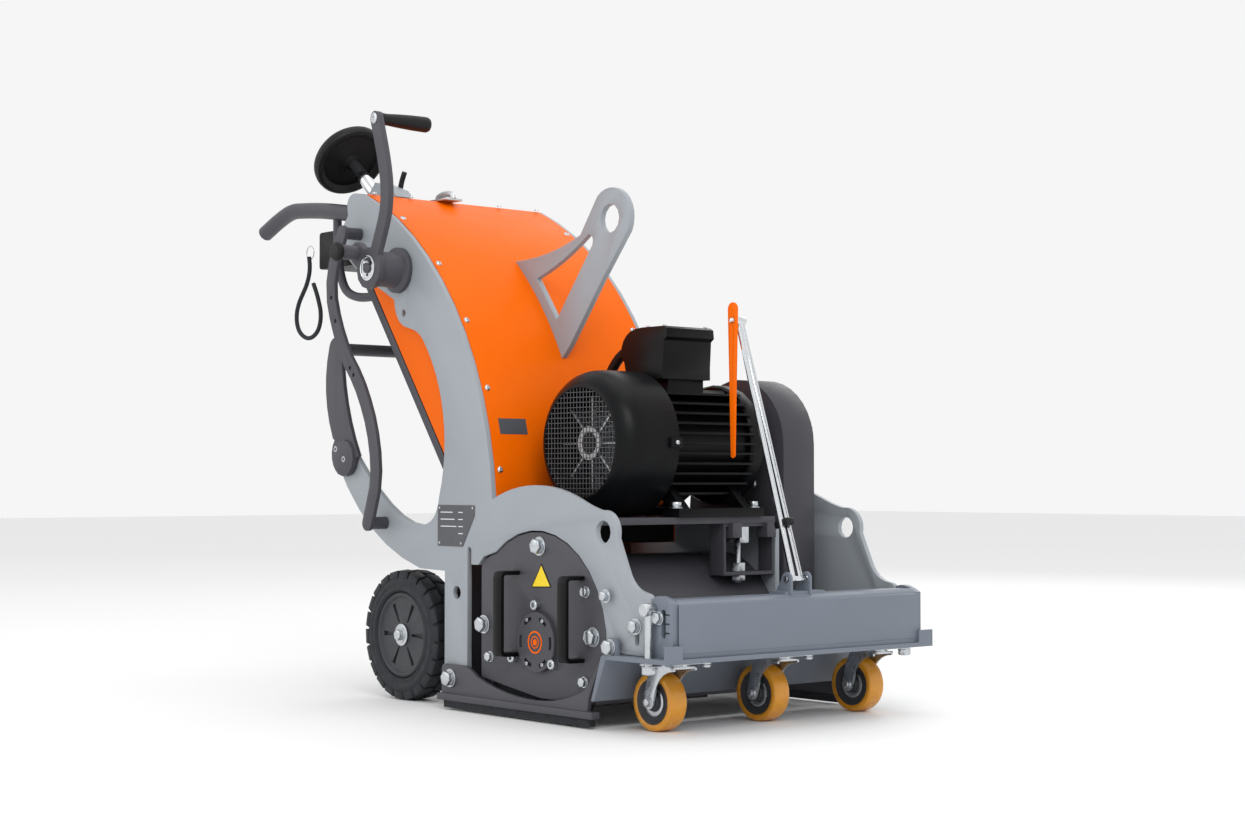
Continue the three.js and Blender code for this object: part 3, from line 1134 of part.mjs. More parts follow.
add('rear_stand', stand, GRAPHITE);

// ---- rear axle and wheels -----------------------------------------------------------------------------

const axleZ = WHEEL_RADIUS;
const wheelInner = WHEEL_OUTSET - WHEEL_WIDTH;
const HUB_BORE = 13;
const SWING_ARM_HALF = 6;
const swingArmY = wheelInner - 35;
const swingArm = (y) => acrossY(
  strap(SWING_X, SWING_Z, WHEEL_X, axleZ, 24), y - SWING_ARM_HALF, y + SWING_ARM_HALF);
const swingReach = swingArmY + SWING_ARM_HALF;
const rearAxle = join(
  bar(AXLE_RADIUS, at(SWING_X, -swingReach, SWING_Z), at(SWING_X, swingReach, SWING_Z), 16),
  bar(AXLE_RADIUS + 3, at(WHEEL_X, 3 - wheelInner, axleZ), at(WHEEL_X, wheelInner - 3, axleZ), 16),
  bar(HUB_BORE - 0.8, at(WHEEL_X, 2 - WHEEL_OUTSET, axleZ), at(WHEEL_X, WHEEL_OUTSET - 2, axleZ), 16),
  swingArm(-swingArmY), swingArm(swingArmY),
);
add('rear_axle', rearAxle, GRAPHITE);

function rearWheel(side) {
  const half = WHEEL_WIDTH / 2;
  const inFace = -half;
  return turned(
    [
      [HUB_BORE, inFace + 6], [82, inFace + 6], [86, inFace], [WHEEL_RADIUS - 14, inFace],
      [WHEEL_RADIUS, inFace + 9], [WHEEL_RADIUS, half - 9], [WHEEL_RADIUS - 14, half], [86, half],
      [80, half - 8], [40, half - 8], [34, half], [HUB_BORE, half], [HUB_BORE, inFace + 6],
    ],
    at(WHEEL_X, side * (WHEEL_OUTSET - half), axleZ), at(0, side, 0), 32);
}
add('wheel_near', rearWheel(-1), RUBBER);
add('wheel_far', rearWheel(1), RUBBER);

// ---- castor carriage ----------------------------------------------------------------------------------

const beamSection = new THREE.Shape();
beamSection.moveTo(BEAM_FRONT, BEAM_BOTTOM);
beamSection.lineTo(BEAM_FRONT, BEAM_FACE_TOP);
beamSection.lineTo(BEAM_FRONT - 10, BEAM_TOP);
beamSection.lineTo(BEAM_BACK, BEAM_TOP);
beamSection.lineTo(BEAM_BACK, BEAM_TOP - BEAM_WALL);
beamSection.lineTo(BEAM_FRONT - 11, BEAM_TOP - BEAM_WALL);
beamSection.lineTo(BEAM_FRONT - BEAM_WALL, BEAM_FACE_TOP - 2);
beamSection.lineTo(BEAM_FRONT - BEAM_WALL, BEAM_BOTTOM);
const beamHalf = FAR_INNER - 3;
function endPlate(side) {
  const shape = new THREE.Shape();
  shape.moveTo(BEAM_BACK - 1, BEAM_BOTTOM);
  shape.lineTo(BEAM_FRONT - 3, BEAM_BOTTOM);
  shape.lineTo(BEAM_FRONT - 3, BEAM_TOP - 6);
  shape.quadraticCurveTo(BEAM_FRONT - 30, BEAM_TOP + 9, BEAM_BACK + 9, BEAM_TOP + 5);
  shape.quadraticCurveTo(BEAM_BACK - 1, BEAM_TOP + 4, BEAM_BACK - 1, BEAM_TOP - 6);
  shape.holes.push(slot(288, 168, 288, 205, 5.5));
  const outer = side * FRAME_WIDTH / 2;
  const inner = side * (beamHalf - 1);
  return acrossY(shape, Math.min(outer, inner), Math.max(outer, inner));
}

// The pointer's hinge bracket is welded on top of the beam.
const HINGE_BOLT = 5;
const bracketEar = (y) => {
  const shape = new THREE.Shape();
  shape.moveTo(POINTER_X - 24, BEAM_TOP - 1);
  shape.lineTo(POINTER_X + 12, BEAM_TOP - 1);
  shape.absarc(POINTER_X, POINTER_Z, 12, 0, Math.PI, false);
  shape.lineTo(POINTER_X - 24, BEAM_TOP + 8);
  shape.holes.push(round(POINTER_X, POINTER_Z, HINGE_BOLT + 1));
  return acrossY(shape, y, y + 4);
};
const bracketFoot = box(POINTER_X - 32, POINTER_X + 7, -34, 62, BEAM_TOP - 1, BEAM_TOP + 5);
const beam = join(
  acrossY(beamSection, -beamHalf, beamHalf), endPlate(-1), endPlate(1), bracketFoot, bracketEar(-25),
  bracketEar(21),
);
add('front_beam', beam, BEAM_GREY);

// The castor deck is one bent plate: level under the beam, then down into the apron.
const deckBottom = DECK_TOP - DECK_THICKNESS;
const deckFront = BEAM_FRONT + 6;
const deckShape = new THREE.Shape();
deckShape.moveTo(deckFront, deckBottom);
deckShape.lineTo(deckFront, DECK_TOP);
deckShape.lineTo(DECK_BEND - 6, DECK_TOP);
deckShape.lineTo(DECK_BEND - 12, DECK_TOP - 4);
deckShape.lineTo(APRON_FOOT_X - 8, APRON_FOOT_Z);
deckShape.lineTo(APRON_FOOT_X, APRON_FOOT_Z);
deckShape.lineTo(DECK_BEND, deckBottom);
const earThickness = 8;
const earOuter = FRAME_WIDTH / 2 + RAIL_WEB + GAP * 2 + earThickness;
const ear = (side) => {
  const shape = strap(PIVOT_X, PIVOT_Z, PIVOT_X, DECK_TOP, 16);
  const outer = side * earOuter;
  const inner = side * (earOuter - earThickness);
  return cut(
    acrossY(shape, Math.min(outer, inner), Math.max(outer, inner)),
    box(0, 400, -400, 400, 0, DECK_TOP - 2),
    bar(PIVOT_BOLT + 0.6, at(PIVOT_X, -400, PIVOT_Z), at(PIVOT_X, 400, PIVOT_Z), 16),
  );
};
const cornerLip = (side) => {
  const outer = side * DECK_OUTSET;
  const inner = side * (FAR_INNER - 4);
  return box(BEAM_FRONT + GAP, deckFront, Math.min(outer, inner), Math.max(outer, inner), deckBottom, 152);
};
const castorPlaces = [-1, 0, 1].map((place) => place * CASTOR_PITCH + CASTOR_SHIFT);
const KINGPIN = 8;
const rodY = FRAME_WIDTH / 2 + EYEBOLT_RADIUS + 3;
const deck = cut(
  join(acrossY(deckShape, -DECK_OUTSET, DECK_OUTSET), ear(-1), ear(1), cornerLip(-1), cornerLip(1)),
  ...castorPlaces.map((y) => bar(KINGPIN + 0.8, at(CASTOR_X, y, 100), at(CASTOR_X, y, 140), 14)),
  ...[-1, 1].map((side) => bar(
    EYEBOLT_RADIUS + 2.5, at(EYEBOLT_X, side * rodY, 100), at(EYEBOLT_X, side * rodY, 140), 12)),
);
add('castor_deck', deck, BEAM_GREY);

// Eyebolts hang from the side plates and hold the deck's height with a nut under it.
const eyebolt = (side) => {
  const y = side * rodY;
  const inner = side * (FRAME_WIDTH / 2 + GAP);
  const outer = side * (rodY + EYEBOLT_RADIUS + 5);
  return join(
    bar(EYEBOLT_RADIUS, at(EYEBOLT_X, y, 104), at(EYEBOLT_X, y, EYEBOLT_Z), 14),
    bar(11, at(EYEBOLT_X, inner, EYEBOLT_Z), at(EYEBOLT_X, outer, EYEBOLT_Z), 16),
    turned([[0, 104], [12, 104], [12, 116], [0, 116]], at(EYEBOLT_X, y, 0), at(0, 0, 1), 6),
  );
};
add('eyebolt_near', eyebolt(-1), ZINC);
add('eyebolt_far', eyebolt(1), ZINC);

// ---- castors ------------------------------------------------------------------------------------------

const FORK_TOP = deckBottom - 1;
const FORK_WALL = 4;
const AXLE_BOLT = 5;
const wheelX = CASTOR_X - CASTOR_TRAIL;
castorPlaces.forEach((y, index) => {
  const half = CASTOR_WIDTH / 2 + 3;
  const cheek = new THREE.Shape();
  cheek.moveTo(CASTOR_X + 26, FORK_TOP - 10);
  cheek.lineTo(CASTOR_X + 26, FORK_TOP - 16);
  cheek.quadraticCurveTo(wheelX + 20, FORK_TOP - 18, wheelX + 12, CASTOR_RADIUS);
  cheek.absarc(wheelX, CASTOR_RADIUS, 12, 0, -Math.PI, true);
  cheek.quadraticCurveTo(wheelX - 6, FORK_TOP - 26, CASTOR_X - 30, FORK_TOP - 10);
  const fork = join(
    acrossY(cheek, y - half - FORK_WALL, y - half),
    acrossY(cheek, y + half, y + half + FORK_WALL),
    box(CASTOR_X - 30, CASTOR_X + 26, y - half - FORK_WALL, y + half + FORK_WALL, FORK_TOP - 13,
      FORK_TOP - 9),
    turned([[0, FORK_TOP - 10], [28, FORK_TOP - 10], [24, FORK_TOP], [0, FORK_TOP]], at(CASTOR_X, y, 0),
      at(0, 0, 1), 16),
    bar(KINGPIN, at(CASTOR_X, y, FORK_TOP - 4), at(CASTOR_X, y, DECK_TOP - 1), 12),
    bar(AXLE_BOLT, at(wheelX, y - half - FORK_WALL - 5, CASTOR_RADIUS),
      at(wheelX, y + half + FORK_WALL + 5, CASTOR_RADIUS), 14),
  );
  add(`castor_fork_${index + 1}`, fork, ZINC);
  const tyreHalf = CASTOR_WIDTH / 2;
  const wheel = turned(
    [
      [AXLE_BOLT + 0.6, -tyreHalf - 2], [13, -tyreHalf - 2], [15, -tyreHalf + 6], [31, -tyreHalf + 6],
      [34, -tyreHalf], [CASTOR_RADIUS - 6, -tyreHalf], [CASTOR_RADIUS, -tyreHalf + 10],
      [CASTOR_RADIUS, tyreHalf - 10], [CASTOR_RADIUS - 6, tyreHalf], [34, tyreHalf], [31, tyreHalf - 6],
      [15, tyreHalf - 6], [13, tyreHalf + 2], [AXLE_BOLT + 0.6, tyreHalf + 2],
      [AXLE_BOLT + 0.6, -tyreHalf - 2],
    ],
    at(wheelX, y, CASTOR_RADIUS), at(0, 1, 0), 20);
  add(`castor_wheel_${index + 1}`, wheel, AMBER);
});

// ---- direction pointer --------------------------------------------------------------------------------

const back = POINTER_LEAN * DEGREE;
const pointerAxis = at(-Math.sin(back), 0, Math.cos(back));
const hinge = at(POINTER_X, 0, POINTER_Z);
const tip = hinge.clone().addScaledVector(pointerAxis, POINTER_LENGTH);
const LEG_SPREAD = 9;
const ROD = 5;
const rodFoot = (side) => hinge.clone().add(at(0, side * LEG_SPREAD, 0));
const pointerArm = join(
  bar(ROD, rodFoot(-1).addScaledVector(pointerAxis, -4), tip.clone().add(at(0, -4, 0)), 10),
  bar(ROD, rodFoot(1).addScaledVector(pointerAxis, -4), tip.clone().add(at(0, 4, 0)), 10),
  bar(HINGE_BOLT, hinge.clone().add(at(0, -28, 0)), hinge.clone().add(at(0, 28, 0)), 14),
  bar(8, tip.clone().add(at(0, -12, 0)), tip.clone().add(at(0, 11, 0)), 14),
  bar(4, tip.clone().add(at(0, -22, 0)), tip.clone().add(at(0, -10, 0)), 12),
);
add('pointer_arm', pointerArm, CHROME);
const bladeShape = new THREE.Shape();
const bladeTop = tip.z + BLADE_ABOVE;
const bladeFoot = bladeTop - BLADE_LENGTH;
bladeShape.moveTo(tip.x - 5, bladeFoot + 5);
bladeShape.absarc(tip.x, bladeFoot + 5, 5, Math.PI, 2 * Math.PI, false);
bladeShape.lineTo(tip.x + 12, bladeTop - 12);
bladeShape.absarc(tip.x, bladeTop - 12, 12, 0, Math.PI, false);
bladeShape.holes.push(round(tip.x, tip.z, 4.8));
add('pointer_blade', acrossY(bladeShape, -17, -14), ORANGE);

// ---- place the machine --------------------------------------------------------------------------------

const extent = new THREE.Box3();
machine.children.filter((mesh) => mesh.name !== 'safety_cord').forEach((mesh) => extent.expandByObject(mesh,
  true));
machine.position.set(-(extent.min.x + extent.max.x) / 2, -(extent.min.y + extent.max.y) / 2, 0);

export default machine;
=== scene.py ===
"""Looks of a walk-behind floor milling machine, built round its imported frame."""

import json
import math

import bmesh
import bpy
from mathutils import Matrix, Vector


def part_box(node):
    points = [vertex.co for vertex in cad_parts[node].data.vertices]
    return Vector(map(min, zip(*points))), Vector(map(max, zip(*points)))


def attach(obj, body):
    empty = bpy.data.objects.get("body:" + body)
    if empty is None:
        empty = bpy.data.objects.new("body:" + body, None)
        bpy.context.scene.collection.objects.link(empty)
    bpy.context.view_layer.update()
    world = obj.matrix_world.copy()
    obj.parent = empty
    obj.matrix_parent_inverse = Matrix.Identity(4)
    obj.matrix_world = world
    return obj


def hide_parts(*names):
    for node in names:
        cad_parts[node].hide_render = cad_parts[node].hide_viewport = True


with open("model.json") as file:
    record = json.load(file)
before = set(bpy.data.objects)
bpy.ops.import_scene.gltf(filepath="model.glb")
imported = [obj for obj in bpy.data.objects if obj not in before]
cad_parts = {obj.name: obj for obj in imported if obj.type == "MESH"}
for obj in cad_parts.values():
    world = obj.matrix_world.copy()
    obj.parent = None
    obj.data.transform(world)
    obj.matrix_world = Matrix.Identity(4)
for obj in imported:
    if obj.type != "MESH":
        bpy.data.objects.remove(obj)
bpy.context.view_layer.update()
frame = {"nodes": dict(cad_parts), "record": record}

bl_info = {
    "name": "Floor milling machine",
    "version": (1, 0, 0),
    "blender": (4, 5, 0),
    "location": "View3D > Sidebar > Milling machine",
    "description": "Builds the visible pieces and finishes of a walk-behind floor milling machine",
    "category": "Object",
}

MM = 0.001

# The machine's own millimetres start on the floor, midway between the side plates,
# 320 mm behind the front edge of the castor deck, whose half width is 322 mm.
DECK_FRONT, DECK_HALF_WIDTH = 320, 322
deck_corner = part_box("castor_deck")[1]
START = Vector((deck_corner.x - DECK_FRONT * MM, deck_corner.y - DECK_HALF_WIDTH * MM, 0))

NEAR_FACE = -300        # outer face of the near side plate
COVER_FACE = -298       # outer face of the drum cover
FAR_FACE = 300.3        # just proud of the far side plate
GUARD_FACE = 240.2      # just proud of the belt guard
WHEEL_X, WHEEL_Z, WHEEL_RADIUS, WHEEL_WIDTH = -496, 125, 125, 60
WHEEL_MIDDLE = 255
CASTOR_X, CASTOR_RADIUS = 203, 50
CASTOR_SWIVEL_X = 241
CASTOR_Y = (-233, 7.5, 248)
MOTOR_X, MOTOR_Z = -22, 488
SKIN_X, SKIN_Z, SKIN_RADIUS = -880.35, 339.15, 702      # the arc of the hood's front skin
BARS_Y = (-250, 100)
CRANK_X, CRANK_Z = -478, 825
FIRST_TURN, NEXT_TURN = 0.3, 0.47       # radians, so that no two heads in a row stand alike
SQUARE = ((-1, -1), (1, -1), (1, 1), (-1, 1))


def here(x, y, z):
    """A point in the machine's own millimetres, as a place in the scene."""
    return START + Vector((x, y, z)) * MM


def skin_x(z):
    """How far forward the hood's front skin stands at a height."""
    return SKIN_X + math.sqrt(SKIN_RADIUS**2 - (z - SKIN_Z) ** 2)


def linear(code):
    """A colour from its sRGB hex value, made linear."""
    shares = [int(code[i : i + 2], 16) / 255 for i in (1, 3, 5)]
    return [s / 12.92 if s <= 0.04045 else ((s + 0.055) / 1.055) ** 2.4 for s in shares]


def colour_setting(name, description, code):
    return bpy.props.FloatVectorProperty(
        name=name, description=description, subtype="COLOR", size=3, min=0, max=1, default=linear(code))


def length_setting(name, description, millimetres):
    return bpy.props.FloatProperty(
        name=name, description=description, subtype="DISTANCE", unit="LENGTH", min=0,
        default=millimetres * MM)


class MachineColours(bpy.types.PropertyGroup):
    """The colours of the machine's finishes."""

    light_grey: colour_setting("Light grey", "Powder coat of the side plates", "#989EA4")
    graphite: colour_setting("Graphite", "Powder coat of the drum cover and brackets", "#46464C")
    beam_grey: colour_setting("Beam grey", "Powder coat of the castor beam and deck", "#6F7681")
    orange: colour_setting("Orange", "Powder coat of the hood", "#F06700")
    black: colour_setting("Black", "Enamel of the motor", "#0B0C0E")
    plastic: colour_setting("Black plastic", "Moulded handles, knobs and boxes", "#111113")
    red: colour_setting("Red", "Mushroom head of the stop button", "#C8151B")
    rubber: colour_setting("Rubber", "Solid tyres and skirts", "#26292D")
    amber: colour_setting("Amber", "Polyurethane treads of the castors", "#D8921F")
    zinc: colour_setting("Zinc", "Plated bolts, castor forks and links", "#C9CDD1")
    chrome: colour_setting("Chrome", "Plated column, rods and discs", "#DDE0E3")
    steel: colour_setting("Steel", "Machined shafts and cutters", "#8F9296")
    yellow: colour_setting("Yellow", "Vinyl of the triangle label", "#F2D21B")


class MachineSizes(bpy.types.PropertyGroup):
    """The sizes of the details that Blender adds."""

    broken_edge: length_setting("Broken edge", "Width that is taken off every sheet metal edge", 0.8)
    tread_blocks: bpy.props.IntProperty(
        name="Tread blocks", description="Blocks round each side of a rear tyre", default=22, min=8, max=40)
    tread_depth: length_setting("Tread depth", "Depth of the grooves between the tread blocks", 5)
    mesh_pitch: length_setting("Mesh pitch", "Spacing of the wires of the fan grille", 9)
    mesh_wire: length_setting("Mesh wire", "Thickness of the wires of the fan grille", 1.7)
    bristle_pitch: length_setting("Bristle pitch", "Spacing of the tufts of the dust brush", 2.6)
    cord_thickness: length_setting("Cord thickness", "Diameter of the safety cord", 9)


# ---------------------------------------------------------------- working by hand

def nothing_selected():
    """Leaves edit mode with nothing selected."""
    if bpy.context.object and bpy.context.object.mode != "OBJECT":
        bpy.ops.object.mode_set(mode="OBJECT")
    bpy.ops.object.select_all(action="DESELECT")


def only(*pieces):
    """Selects these pieces and nothing else, the first one active."""
    nothing_selected()
    for piece in pieces:
        piece.select_set(True)
    bpy.context.view_layer.objects.active = pieces[0]
    return pieces[0]


def edit(piece):
    only(piece)
    bpy.ops.object.mode_set(mode="EDIT")
    bpy.ops.mesh.select_mode(type="VERT")
    bpy.ops.mesh.select_all(action="SELECT")


def pick(piece, test, kind="faces"):
    """In edit mode, selects the faces or vertices that pass. A face is tested by its middle and normal."""
    bpy.ops.mesh.select_mode(type={"faces": "FACE", "verts": "VERT"}[kind])
    bpy.ops.mesh.select_all(action="DESELECT")
    shape = bmesh.from_edit_mesh(piece.data)
    for item in getattr(shape, kind):
        if kind == "faces":
            passed = test(item.calc_center_median() / MM, item.normal)
        else:
            passed = test(item.co / MM)
        if passed:
            item.select_set(True)
    bmesh.update_edit_mesh(piece.data)


def named(piece, name):
    piece.name = name
    piece.data.name = name
    return piece


def set_at(piece, place, direction=(0, 0, 1), turn=0.0):
    """Stands a piece made at the origin on its place, its own +Z along direction, and applies that."""
    upright = Vector(direction).to_track_quat("Z", "Y").to_matrix().to_4x4()
    only(piece)
    piece.matrix_world = Matrix.Translation(place) @ upright @ Matrix.Rotation(turn, 4, "Z")
    bpy.ops.object.transform_apply(location=True, rotation=True, scale=True)
    return piece


def drawn(name, points):
    """A run of edges drawn from point to point, left in edit mode."""
    nothing_selected()
    bpy.ops.mesh.primitive_plane_add(size=MM, location=(0, 0, 0))
    piece = named(bpy.context.object, name)
    edit(piece)
    bpy.ops.mesh.merge(type="CENTER")
    bpy.ops.transform.translate(value=points[0])
    for before, after in zip(points, points[1:]):
        bpy.ops.mesh.extrude_vertices_move(TRANSFORM_OT_translate={"value": after - before})
    bpy.ops.mesh.select_all(action="SELECT")
    return piece


def closed_up(piece):
    """Merges doubles, faces the surface outwards and leaves edit mode."""
    bpy.ops.mesh.select_all(action="SELECT")
    bpy.ops.mesh.remove_doubles(threshold=MM / 500)
    bpy.ops.mesh.normals_make_consistent(inside=False)
    bpy.ops.object.mode_set(mode="OBJECT")
    return piece


def turned(name, outline, place=(0, 0, 0), direction=(0, 0, 1), steps=48):
    """A piece turned from its outline of (radius, height), set on its place with its axis along direction."""
    piece = drawn(name, [Vector((radius, 0, height)) * MM for radius, height in outline])
    bpy.ops.mesh.spin(steps=steps, angle=math.tau, center=(0, 0, 0), axis=(0, 0, 1))
    return set_at(closed_up(piece), place, direction)


def cut_plate(name, outline, y, thickness):
    """A plate cut to an outline in x and z, its outer face at y, its thickness towards +Y."""
    piece = drawn(name, [here(x, y, z) for x, z in outline])
    bpy.ops.mesh.edge_face_add()
    bpy.ops.mesh.extrude_region_move(TRANSFORM_OT_translate={"value": (0, thickness * MM, 0)})
    return closed_up(piece)


def block(name, low, high, edge=1.0, segments=2):
    """A block between two corners in the machine's millimetres, its edges rounded."""
    low, high = here(*low), here(*high)
    nothing_selected()
    bpy.ops.mesh.primitive_cube_add(size=1, location=(low + high) / 2, scale=high - low)
    piece = named(bpy.context.object, name)
    bpy.ops.object.transform_apply(location=True, rotation=True, scale=True)
    return softened(piece, edge, segments)


def softened(piece, width, segments=2, angle=40):
    """Rounds the sharp edges of a piece."""
    only(piece)
    rounding = piece.modifiers.new("rounded edges", "BEVEL")
    rounding.width = width * MM
    rounding.segments = segments
    rounding.limit_method = "ANGLE"
    rounding.angle_limit = math.radians(angle)
    bpy.ops.object.modifier_apply(modifier=rounding.name)
    return piece


def along(points, steps):
    """A smooth line through points, with steps to each stretch."""
    line = []
    last = len(points) - 1
    for i in range(last):
        a, b, c, d = (points[max(0, min(last, i + k))] for k in (-1, 0, 1, 2))
        for s in range(steps):
            t = s / steps
            line.append(0.5 * (2 * b + (c - a) * t + (2 * a - 5 * b + 4 * c - d) * t**2
                               + (3 * b - a - 3 * c + d) * t**3))
    return line + [points[last]]


def round_bar(name, line, radius, resolution=6):
    """A round bar along a line of places, still a curve."""
    nothing_selected()
    bpy.ops.curve.primitive_nurbs_path_add(location=(0, 0, 0))
    piece = named(bpy.context.object, name)
    route = piece.data.splines[0]
    route.points.add(max(0, len(line) - len(route.points)))
    route.type = "POLY"
    for point, place in zip(route.points, line):
        point.co = (*place, 1)
    piece.data.bevel_depth = radius * MM
    piece.data.bevel_resolution = resolution
    piece.data.use_fill_caps = True
    return piece


def as_mesh(piece):
    """A curve or text made a mesh, its doubles merged."""
    only(piece)
    bpy.ops.object.convert(target="MESH")
    edit(piece)
    return closed_up(piece)


def joined(name, pieces):
    only(*pieces)
    if len(pieces) > 1:
        bpy.ops.object.join()
    return named(bpy.context.object, name)


def copied(name, model, places, direction):
    """Copies of one model at several places, joined under one name. Each is turned a little differently."""
    made = []
    for i, place in enumerate(places):
        only(model)
        bpy.ops.object.duplicate()
        made.append(set_at(bpy.context.object, place, direction, FIRST_TURN + i * NEXT_TURN))
    bpy.data.objects.remove(model)
    return joined(name, made)


def hexagon_bolt(across, height, washer):
    """A hexagon head on its washer, standing on the origin, with the corners broken at the top."""
    nothing_selected()
    bpy.ops.mesh.primitive_cylinder_add(
        vertices=6, radius=across / math.sqrt(3) * MM, depth=height * MM,
        location=(0, 0, (2 + height / 2) * MM))
    head = bpy.context.object
    bpy.ops.object.transform_apply(location=True, rotation=True, scale=True)
    softened(head, across * 0.02, 1)
    edit(head)
    pick(head, lambda middle, normal: normal.z > 0.9)
    bpy.ops.mesh.inset(thickness=across * 0.10 * MM, depth=across * 0.045 * MM)
    bpy.ops.object.mode_set(mode="OBJECT")
    ring = turned("washer", [(0, 0), (washer, 0), (washer, 1.5), (washer - 0.6, 2), (0, 2)], steps=28)
    return joined("hexagon bolt", [head, ring])


def socket_screw(radius, height):
    """A cap screw with its socket, standing on the origin."""
    socket = radius * 0.5
    return turned("cap screw", [
        (0, 0), (radius, 0), (radius, height - radius * 0.15), (radius * 0.88, height),
        (socket, height), (socket, height * 0.4), (0, height * 0.35)], steps=20)


def dome_screw(radius, height):
    """A button head screw with its socket, standing on the origin."""
    socket = radius * 0.34
    return turned("button screw", [
        (0, 0), (radius, 0), (radius * 0.95, height * 0.45), (radius * 0.72, height * 0.82),
        (radius * 0.48, height), (socket, height), (socket, height * 0.4), (0, height * 0.35)], steps=18)


finishes = {}


def settle(piece, body, slot, finish=None, instead_of=()):
    """Gives a piece its finish and smooth faces, and lets it ride on its body."""
    only(piece)
    if piece.type == "MESH":
        bpy.ops.object.shade_smooth_by_angle(angle=math.radians(38))
    piece.data.materials.clear()
    piece.data.materials.append(finishes[finish or slot])
    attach(piece, body)
    if instead_of:
        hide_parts(*instead_of)
    return piece


def fastened(name, model, places, direction, body="frame"):
    """Zinc plated copies of a bolt or screw, at rest on a body."""
    return settle(copied(name, model, places, direction), body, "zinc_plate")


# ---------------------------------------------------------------- finishes

def add(tree, kind, inputs, **settings):
    """Adds a node with its settings. An input given as a socket is linked; anything else is typed in."""
    made = tree.nodes.new(kind)
    for name, value in settings.items():
        setattr(made, name, value)
    for name, value in inputs.items():
        if isinstance(value, bpy.types.NodeSocket):
            tree.links.new(value, made.inputs[name])
        else:
            made.inputs[name].default_value = value
    return made


def surface(name, colour, second, patch, grain, depth, rough, rough_patch, **gloss):
    """A finish with two shades in patches, a fine relief and uneven gloss.

    patch, grain and rough_patch are real sizes in millimetres, depth is the height of
    the relief in millimetres, and rough is the lowest and highest roughness."""
    material = bpy.data.materials.new(name)
    material.use_nodes = True
    tree = material.node_tree
    tree.nodes.clear()
    at = add(tree, "ShaderNodeTexCoord", {}).outputs["Object"]
    clouds = add(tree, "ShaderNodeTexNoise", {"Vector": at, "Scale": 1 / (patch * MM), "Detail": 3.0})
    shades = add(tree, "ShaderNodeMix", {
        0: clouds.outputs["Fac"], 6: (*colour, 1), 7: (*second, 1)}, data_type="RGBA")
    relief = add(tree, "ShaderNodeTexNoise", {"Vector": at, "Scale": 1 / (grain * MM), "Detail": 2.0})
    normal = add(tree, "ShaderNodeBump", {
        "Height": relief.outputs["Fac"], "Strength": 0.5, "Distance": depth * MM})
    wear = add(tree, "ShaderNodeTexNoise", {"Vector": at, "Scale": 1 / (rough_patch * MM), "Detail": 4.0})
    unevenness = add(tree, "ShaderNodeMapRange", {
        "Value": wear.outputs["Fac"], "From Min": 0.3, "From Max": 0.7, "To Min": rough[0],
        "To Max": rough[1]})
    shader = add(tree, "ShaderNodeBsdfPrincipled", {
        "Base Color": shades.outputs[2], "Roughness": unevenness.outputs["Result"],
        "Normal": normal.outputs["Normal"], **gloss})
    add(tree, "ShaderNodeOutputMaterial", {"Surface": shader.outputs["BSDF"]})
    return material


def shaded(colour, share):
    return [max(0, min(1, value * share)) for value in colour]


def powder_coat(name, colour, rough=(0.36, 0.46), reflection=0.35):
    """Polyester powder coat, sprayed and baked: an even colour with a faint orange peel, drawn
    4 mm coarse so that it shows, and a satin gloss that differs a little from place to place."""
    return surface(name, shaded(colour, 0.95), shaded(colour, 1.05), 90, 4, 0.05, rough, 60,
                   IOR=1.5, **{"Specular IOR Level": reflection})


def plated(name, colour, rough, spangle):
    """Plated metal: full reflections, a shade that shifts in small patches, and fine polishing marks."""
    return surface(
        name, shaded(colour, 0.9), shaded(colour, 1.04), spangle, 1.5, 0.01, rough, 8, Metallic=1.0)


def moulded(name, colour, rough=(0.42, 0.56), grain=1.6, depth=0.06):
    """Moulded polyamide or rubber: a soft sheen broken by the spark-eroded grain of the mould."""
    return surface(name, shaded(colour, 0.86), shaded(colour, 1.18), 40, grain, depth, rough, 18,
                   IOR=1.5, **{"Specular IOR Level": 0.3})


